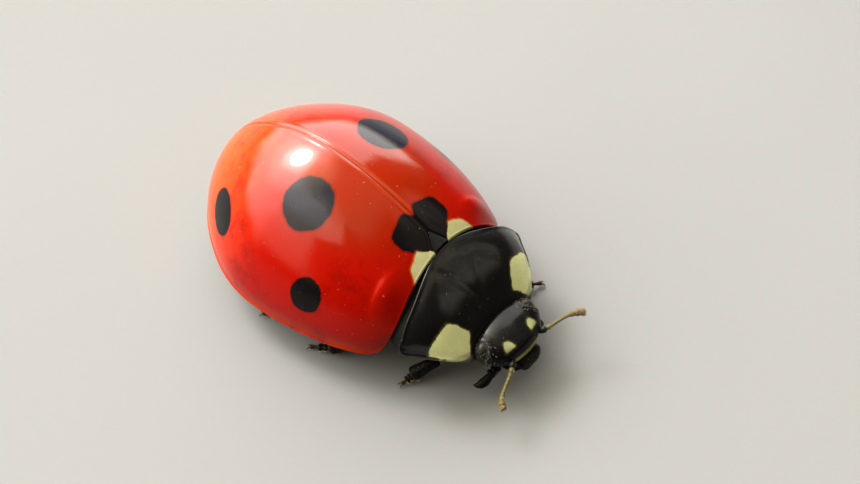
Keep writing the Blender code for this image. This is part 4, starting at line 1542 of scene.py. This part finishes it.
class Coat:
    """Gathers hairs and their patches on the unrolled skins, and makes one piece of them."""

    def __init__(self, settings):
        self.settings = settings
        self.draw = np.random.default_rng(settings.seed)
        self.shape = Shape()
        self.patches = []

    def grow(self, skin, path, count, length, lie, stand, tile, size, weigh=None):
        """Adds closed three-sided hairs that lean along lie, or along the skin's line where lie is None."""
        roots, outward = scatter(skin, path, count, weigh or (lambda centre: np.ones(len(centre))), self.draw)
        patch, lean = unroll(roots, path, tile, size)
        if lie is not None:
            lean = np.array(lie) * np.stack([np.sign(roots[:, 0]), *np.ones((2, count))], axis=-1)
        lean = unit(lean)
        ways = unit(outward * stand + lean * (1 - stand) + self.draw.normal(0, 0.13, (count, 3)))
        ends = unit(ways * 0.6 + lean * 0.5)
        lengths = (length * self.draw.uniform(0.6, 1.15, count))[:, None]
        sideways = unit(np.cross(ways, (0.1, 0.2, 1)))
        up = np.cross(sideways, ways)
        half = self.settings.thickness / MM / 2
        middles = roots + ways * lengths * 0.5
        tips = middles + ends * lengths * 0.5
        places, flats = [], []
        for turn in THIRDS:
            away = sideways * math.cos(turn) + up * math.sin(turn)
            shift = np.array((math.cos(turn), math.sin(turn))) * FLAT_HALF_WIDTH
            places += [roots - ways * ROOT_DEPTH + away * half, middles + away * half * 0.75]
            flats += [patch + shift, patch + shift * 0.6]
        stack = np.stack(places + [tips], axis=1)
        stack[..., 2] = np.maximum(stack[..., 2], OFF_FLOOR)
        numbers = self.shape.add(stack)
        self.patches.append(np.stack(flats + [patch], axis=1).reshape(-1, 2))
        for a in numbers:
            self.shape.faces.append((a[0], a[4], a[2]))
            for low, high in ((0, 2), (2, 4), (4, 0)):
                self.shape.faces.append((a[low], a[high], a[high + 1], a[low + 1]))
                self.shape.faces.append((a[low + 1], a[high + 1], a[6]))

    def make(self, name, material):
        piece = self.shape.make(name, material, "pale_hair")
        places = np.concatenate(self.patches)
        layer = piece.data.uv_layers.new(name="OFBake")
        corner = np.empty(len(piece.data.loops), np.int32)
        piece.data.loops.foreach_get("vertex_index", corner)
        layer.data.foreach_set("uv", places[corner].ravel().astype(np.float32))


def hair_material(settings):
    """Pale, half-glossy hair, greyer here and there."""
    material, nodes, shader, drift = drifting_material("pale_hair", 2.0, 30.0, 0.38)
    base = nodes.mix(nodes.step(drift["Tone"], 0.3, 0.7), scaled(settings.pale, 0.6), settings.pale)
    normal = nodes.bumped(drift["Tone"], 0.001, 0.5)
    finish_surface(nodes, shader, base, drift, None, normal, Specular_IOR_Level=0.5)
    return material


def line(start, end):
    return np.linspace(start, end, 24)


def head_coat(settings, head_settings):
    """Short hairs, close on the sides of the head and sparse on its top, and a fringe on the lip."""
    coat = Coat(settings)
    length = settings.length / MM
    middle = line((-0.62, -4.30, 1.0), (0.62, -4.30, 1.0))

    def sides(centre):
        from_eye = np.minimum(*(eye_distance(centre, side) for side in SIDES.values()))
        close = ease(from_eye, 1.7, 1.15)
        return (0.02 + close * ease(centre[:, 1], -4.66, -4.50)) * ease(centre[:, 2], 0.70, 0.84)

    coat.grow(head(head_settings), middle, 300, length, (0.5, -0.8, -0.3), 0.45, (0, 0), 0.48, sides)
    lip_line = line((-0.3, -4.88, 0.70), (0.3, -4.88, 0.70))
    coat.grow(lip(), lip_line, 16, length * 0.6, (0.1, -0.8, -0.6), 0.3, (0, 0.5), 0.2,
              lambda centre: ease(centre[:, 1], -4.90, -4.98))
    for i, word in enumerate(SIDES):
        base, tip = (np.array(end) for end in PALPS[word])
        coat.grow(palp(word), line(base, tip), 40, length * 0.6, None, 0.4, (0.25 + 0.25 * i, 0.5), 0.2)
    for i, side in enumerate(SIDES.values()):
        centre = EYE_CENTRE * (side, 1, 1)
        eye_line = line(centre - (0, 0.1, 0), centre + (0, 0.1, 0))
        coat.grow(eye(side, head_settings), eye_line, 170, length * 0.5, (0.6, -0.7, -0.3), 0.5,
                  (0.5 + 0.25 * i, 0), 0.2, lambda point: ease(point[:, 2], 0.95, 1.2))
    coat.make("hairs_head", hair_material(settings))


def limb_coats(settings, limbs):
    """Short hairs along the feelers and the legs, and brushes under the feet."""
    material = hair_material(settings)
    length = settings.length / MM
    feelers = Coat(settings)
    for i, word in enumerate(SIDES):
        middle = bezier(FEELERS[word], np.linspace(0, 1, 40))
        feelers.grow(feeler(word, limbs), middle, 340, length * 0.8, None, 0.45, (0, 0.5 * i), 0.48,
                     lambda centre: ease(np.linalg.norm(centre - middle[0], axis=-1), 0.15, 0.3))
    feelers.make("hairs_feelers", material)
    legs = Coat(settings)
    for i, name in enumerate(LEGS):
        hip, knee, ankle, toe = leg_points(name)
        parts = ((thigh(name, limbs), hip, knee, 60, 0.7), (shin(name, limbs), knee, ankle, 150, 0.8),
                 (foot(name), ankle, toe, 110, 0.6))
        for j, (part, start, end, count, share_of) in enumerate(parts):
            legs.grow(part, line(start, end), count, length * share_of, None, 0.45, (0.16 * i, 0.33 * j),
                      0.15)
    legs.make("hairs_legs", material)


def under_coat(settings):
    """Sparse hairs that lie backward on the breast and the belly."""
    coat = Coat(settings)
    length = settings.length / MM

    def low(centre):
        return ease(centre[:, 2], 0.95, 0.80)

    pieces = ((front_breast, -3.9, -3.0, 160), (middle_breast, -3.1, -0.62, 420), (belly, -0.6, 2.6, 520))
    for i, (part, start, end, count) in enumerate(pieces):
        coat.grow(part(), line((0, start, 0.98), (0, end, 0.98)), count, length * 0.8, (0.1, 0.9, -0.1), 0.35,
                  (0.33 * i, 0), 0.32, low)
    coat.make("hairs_underside", hair_material(settings))


class LADYBIRD_OT_hairs(bpy.types.Operator):
    """Grows the hairs on the head, feelers, legs and underside"""

    bl_idname = "ladybird.hairs"
    bl_label = "Hairs"

    def execute(self, context):
        scene = context.scene
        head_coat(scene.ladybird_hair, scene.ladybird_head)
        limb_coats(scene.ladybird_hair, scene.ladybird_limbs)
        under_coat(scene.ladybird_hair)
        return {"FINISHED"}




# Floor, light and camera

LOOK_AT = np.array((0.48, -2.03, 1.50))
FLOOR_RADIUS = 0.6
LAMP_DIRECTION = (math.radians(180), math.radians(48))
LAMP_HALF_ANGLE = math.radians(9)
LAMP_DISTANCE = 90.0
LAMP_COLOUR = (1.0, 0.96, 0.90)
PANEL_HALF_TURN = math.radians(78)  # the wide soft light stands behind the beetle
PANEL_TOP = math.radians(66)
FILL_DIRECTION = (math.radians(38), math.radians(42))
FILL_HALF_ANGLE = math.radians(31)
# the ways across the fill light's streaks, and how close the streaks are each way
STREAKS = (((0.707, 0.707, 0), 4.5), ((0.236, -0.236, 0.943), 4.5), ((0.667, -0.667, -0.333), 1.0))
DIM_COLOUR, BRIGHT_COLOUR = (1.0, 0.89, 0.54), (1.0, 0.98, 0.92)


def direction(azimuth, elevation):
    """From the beetle towards a place at that azimuth, 0 in front and 90 on its left, and height."""
    level = math.cos(elevation)
    return np.array((math.sin(azimuth) * level, -math.cos(azimuth) * level, math.sin(elevation)))


def floor_material(settings):
    """Pale matt board with a faint tooth, darker far from the beetle as painted shade round a pool of light.
    """
    material, nodes, shader = new_material("floor_board")
    position = nodes.place_mm()
    cloud = nodes.step(nodes.noise(position, 0.05, 3.0), 0.3, 0.7)
    tooth = nodes.noise(position, 6.0, 3.0, 0.6)
    base = nodes.mix(cloud, settings.floor, scaled(settings.floor, 0.95))
    # darker far from the beetle: painted shade, leaving a painted pool of light round it
    far = nodes.step(nodes.vector("LENGTH", position), 9.0, 45.0)
    base = nodes.over(base, far, scaled(settings.floor, 0.3))
    nodes.fill(shader, Base_Color=base, Roughness=nodes.math("MULTIPLY_ADD", tooth, 0.2, 0.75),
               Normal=nodes.bumped(tooth, 0.01, 0.4), Specular_IOR_Level=0.2)
    return material


def lamp(settings):
    """A small round light behind the beetle, which gives the white highlight and the shadow."""
    made = bpy.data.lights.new("lamp", "AREA")
    made.shape = "DISK"
    made.size = 2 * LAMP_DISTANCE * math.tan(LAMP_HALF_ANGLE) * MM
    made.energy = settings.lamp * math.pi * made.size ** 2 * math.pi / 4
    made.color = LAMP_COLOUR
    holder = bpy.data.objects.new("lamp", made)
    towards = direction(*LAMP_DIRECTION)
    holder.location = place(towards * LAMP_DISTANCE + (0, 0, 1.5))
    holder.rotation_euler = Vector(towards).to_track_quat("Z", "Y").to_euler()
    bpy.context.scene.collection.objects.link(holder)


def panel_light(nodes, x, y, z, cloud):
    """1 on the wide soft light behind the beetle, with cloudy edges and a weak part overhead."""
    flat = nodes.math("SUBTRACT", 1.0, nodes.product(z, z))
    level = nodes.math("SQRT", nodes.highest(flat, 1e-4))
    behind = nodes.math("MULTIPLY_ADD", cloud, 0.55, nodes.math("DIVIDE", y, level))
    wider = nodes.product(nodes.step(z, 0.60, 0.76, 0.0, 0.28), nodes.step(x, 0.1, -0.1))
    behind = nodes.math("ADD", behind, wider)
    height = nodes.math("MULTIPLY_ADD", cloud, 0.30, z)
    edge = math.cos(PANEL_HALF_TURN)
    below = nodes.step(height, math.sin(PANEL_TOP + 0.10), math.sin(PANEL_TOP - 0.22), 0.16, 1.0)
    dimmer = nodes.product(nodes.step(x, 0.1, -0.35), nodes.step(behind, 0.85, 0.35))
    panel = nodes.product(nodes.step(behind, edge - 0.05, edge + 0.08), nodes.step(height, 0.03, 0.22),
                          below, nodes.math("MULTIPLY_ADD", dimmer, -0.45, 1.0))
    overhead = nodes.product(nodes.step(height, 0.80, 0.90), nodes.step(y, -0.34, -0.14, 0.0, 0.16))
    return nodes.highest(panel, overhead)


def near(nodes, towards, cloud, where, wide, narrow):
    """1 within the narrow angle of a direction and 0 beyond the wide one."""
    along = nodes.vector("DOT_PRODUCT", towards, tuple(direction(*where)))
    return nodes.step(nodes.math("MULTIPLY_ADD", cloud, 0.05, along), math.cos(wide), math.cos(narrow))


def world(settings):
    """Soft studio light: dim all round, a wide bright side behind, and a weak patch in front."""
    made = bpy.data.worlds.new("studio")
    made.use_nodes = True
    bpy.context.scene.world = made
    nodes = Nodes(made.node_tree)
    towards = nodes.add("ShaderNodeTexCoord").outputs["Generated"]
    x, y, z = nodes.split(towards)
    cloud = nodes.math("SUBTRACT", nodes.noise(towards, 2.6, 3.0), 0.5)
    panel = panel_light(nodes, x, y, z, cloud)
    glow = near(nodes, towards, cloud, LAMP_DIRECTION, math.radians(32), math.radians(10))
    core = near(nodes, towards, cloud, LAMP_DIRECTION, math.radians(17), math.radians(8))
    glow = nodes.math("MULTIPLY_ADD", core, 2.0, glow)
    fill = near(nodes, towards, cloud, FILL_DIRECTION, FILL_HALF_ANGLE, FILL_HALF_ANGLE * 0.6)
    streaked = nodes.join(*(nodes.product(nodes.vector("DOT_PRODUCT", towards, way), closeness)
                            for way, closeness in STREAKS))
    fill = nodes.product(fill, nodes.step(nodes.noise(streaked, 1.0, 1.0), 0.36, 0.60, 0.45, 1.0))
    total = nodes.math("MULTIPLY_ADD", nodes.step(z, -0.1, 0.9), settings.sky, settings.sky * 0.5)
    for mask, strength in ((panel, settings.panel), (glow, settings.glow), (fill, settings.fill)):
        total = nodes.math("MULTIPLY_ADD", mask, strength, total)
    bright = nodes.step(nodes.highest(panel, fill), 0.2, 1.0)
    tone = nodes.mix(bright, DIM_COLOUR, BRIGHT_COLOUR)
    nodes.fill(made.node_tree.nodes["Background"], Color=tone, Strength=total)


def camera(settings):
    """Looks at LOOK_AT from where the settings say."""
    back = direction(settings.azimuth, settings.elevation)
    right = np.array((math.cos(settings.azimuth), math.sin(settings.azimuth), 0))
    up = np.cross(back, right)
    cosine, sine = math.cos(settings.roll), math.sin(settings.roll)
    turned_right = cosine * right + sine * up
    turned_up = cosine * up - sine * right
    lens = bpy.data.cameras.new("camera")
    lens.lens = settings.lens
    lens.sensor_width = 36
    lens.clip_start = MM
    lens.clip_end = 10
    holder = bpy.data.objects.new("camera", lens)
    axes = Matrix(np.stack([turned_right, turned_up, back], axis=1).tolist()).to_4x4()
    holder.matrix_world = Matrix.Translation(place(LOOK_AT + back * settings.distance / MM)) @ axes
    bpy.context.scene.collection.objects.link(holder)
    bpy.context.scene.camera = holder


class LADYBIRD_OT_stage(bpy.types.Operator):
    """Lays the floor and sets up the light and the camera"""

    bl_idname = "ladybird.stage"
    bl_label = "Floor, light and camera"

    def execute(self, context):
        settings = context.scene.ladybird_stage
        bm = bmesh.new()
        bmesh.ops.create_circle(bm, cap_ends=True, radius=FLOOR_RADIUS, segments=64)
        mesh = bpy.data.meshes.new("floor")
        bm.to_mesh(mesh)
        bm.free()
        mesh.materials.append(floor_material(settings))
        floor = bpy.data.objects.new("floor", mesh)
        context.scene.collection.objects.link(floor)
        lamp(settings)
        world(settings)
        camera(settings)
        context.scene.view_settings.view_transform = "Standard"
        return {"FINISHED"}


# The add-on's panel and the run

OPERATORS = (
    LADYBIRD_OT_wing_cases,
    LADYBIRD_OT_shield,
    LADYBIRD_OT_underside,
    LADYBIRD_OT_head,
    LADYBIRD_OT_mouth,
    LADYBIRD_OT_feelers,
    LADYBIRD_OT_legs,
    LADYBIRD_OT_hairs,
    LADYBIRD_OT_stage,
)


class LADYBIRD_PT_panel(bpy.types.Panel):
    """Lists the pieces"""

    bl_label = "Ladybird"
    bl_idname = "LADYBIRD_PT_panel"
    bl_space_type = "VIEW_3D"
    bl_region_type = "UI"
    bl_category = "Ladybird"

    def draw(self, context):
        for operator in OPERATORS:
            self.layout.operator(operator.bl_idname)


SETTINGS = {
    "ladybird_wings": LadybirdWingSettings,
    "ladybird_shield": LadybirdShieldSettings,
    "ladybird_head": LadybirdHeadSettings,
    "ladybird_limbs": LadybirdLimbSettings,
    "ladybird_hair": LadybirdHairSettings,
    "ladybird_stage": LadybirdStageSettings,
}


def register():
    for group in SETTINGS.values():
        bpy.utils.register_class(group)
    for name, group in SETTINGS.items():
        setattr(bpy.types.Scene, name, PointerProperty(type=group))
    for made in (*OPERATORS, LADYBIRD_PT_panel):
        bpy.utils.register_class(made)


def unregister():
    for made in reversed((*OPERATORS, LADYBIRD_PT_panel)):
        bpy.utils.unregister_class(made)
    for name in SETTINGS:
        delattr(bpy.types.Scene, name)
    for group in reversed(list(SETTINGS.values())):
        bpy.utils.unregister_class(group)


def main():
    register()
    make_groups()
    for operator in OPERATORS:
        call = operator.bl_idname.split(".")[1]
        getattr(bpy.ops.ladybird, call)()


if __name__ == "__main__":
    main()
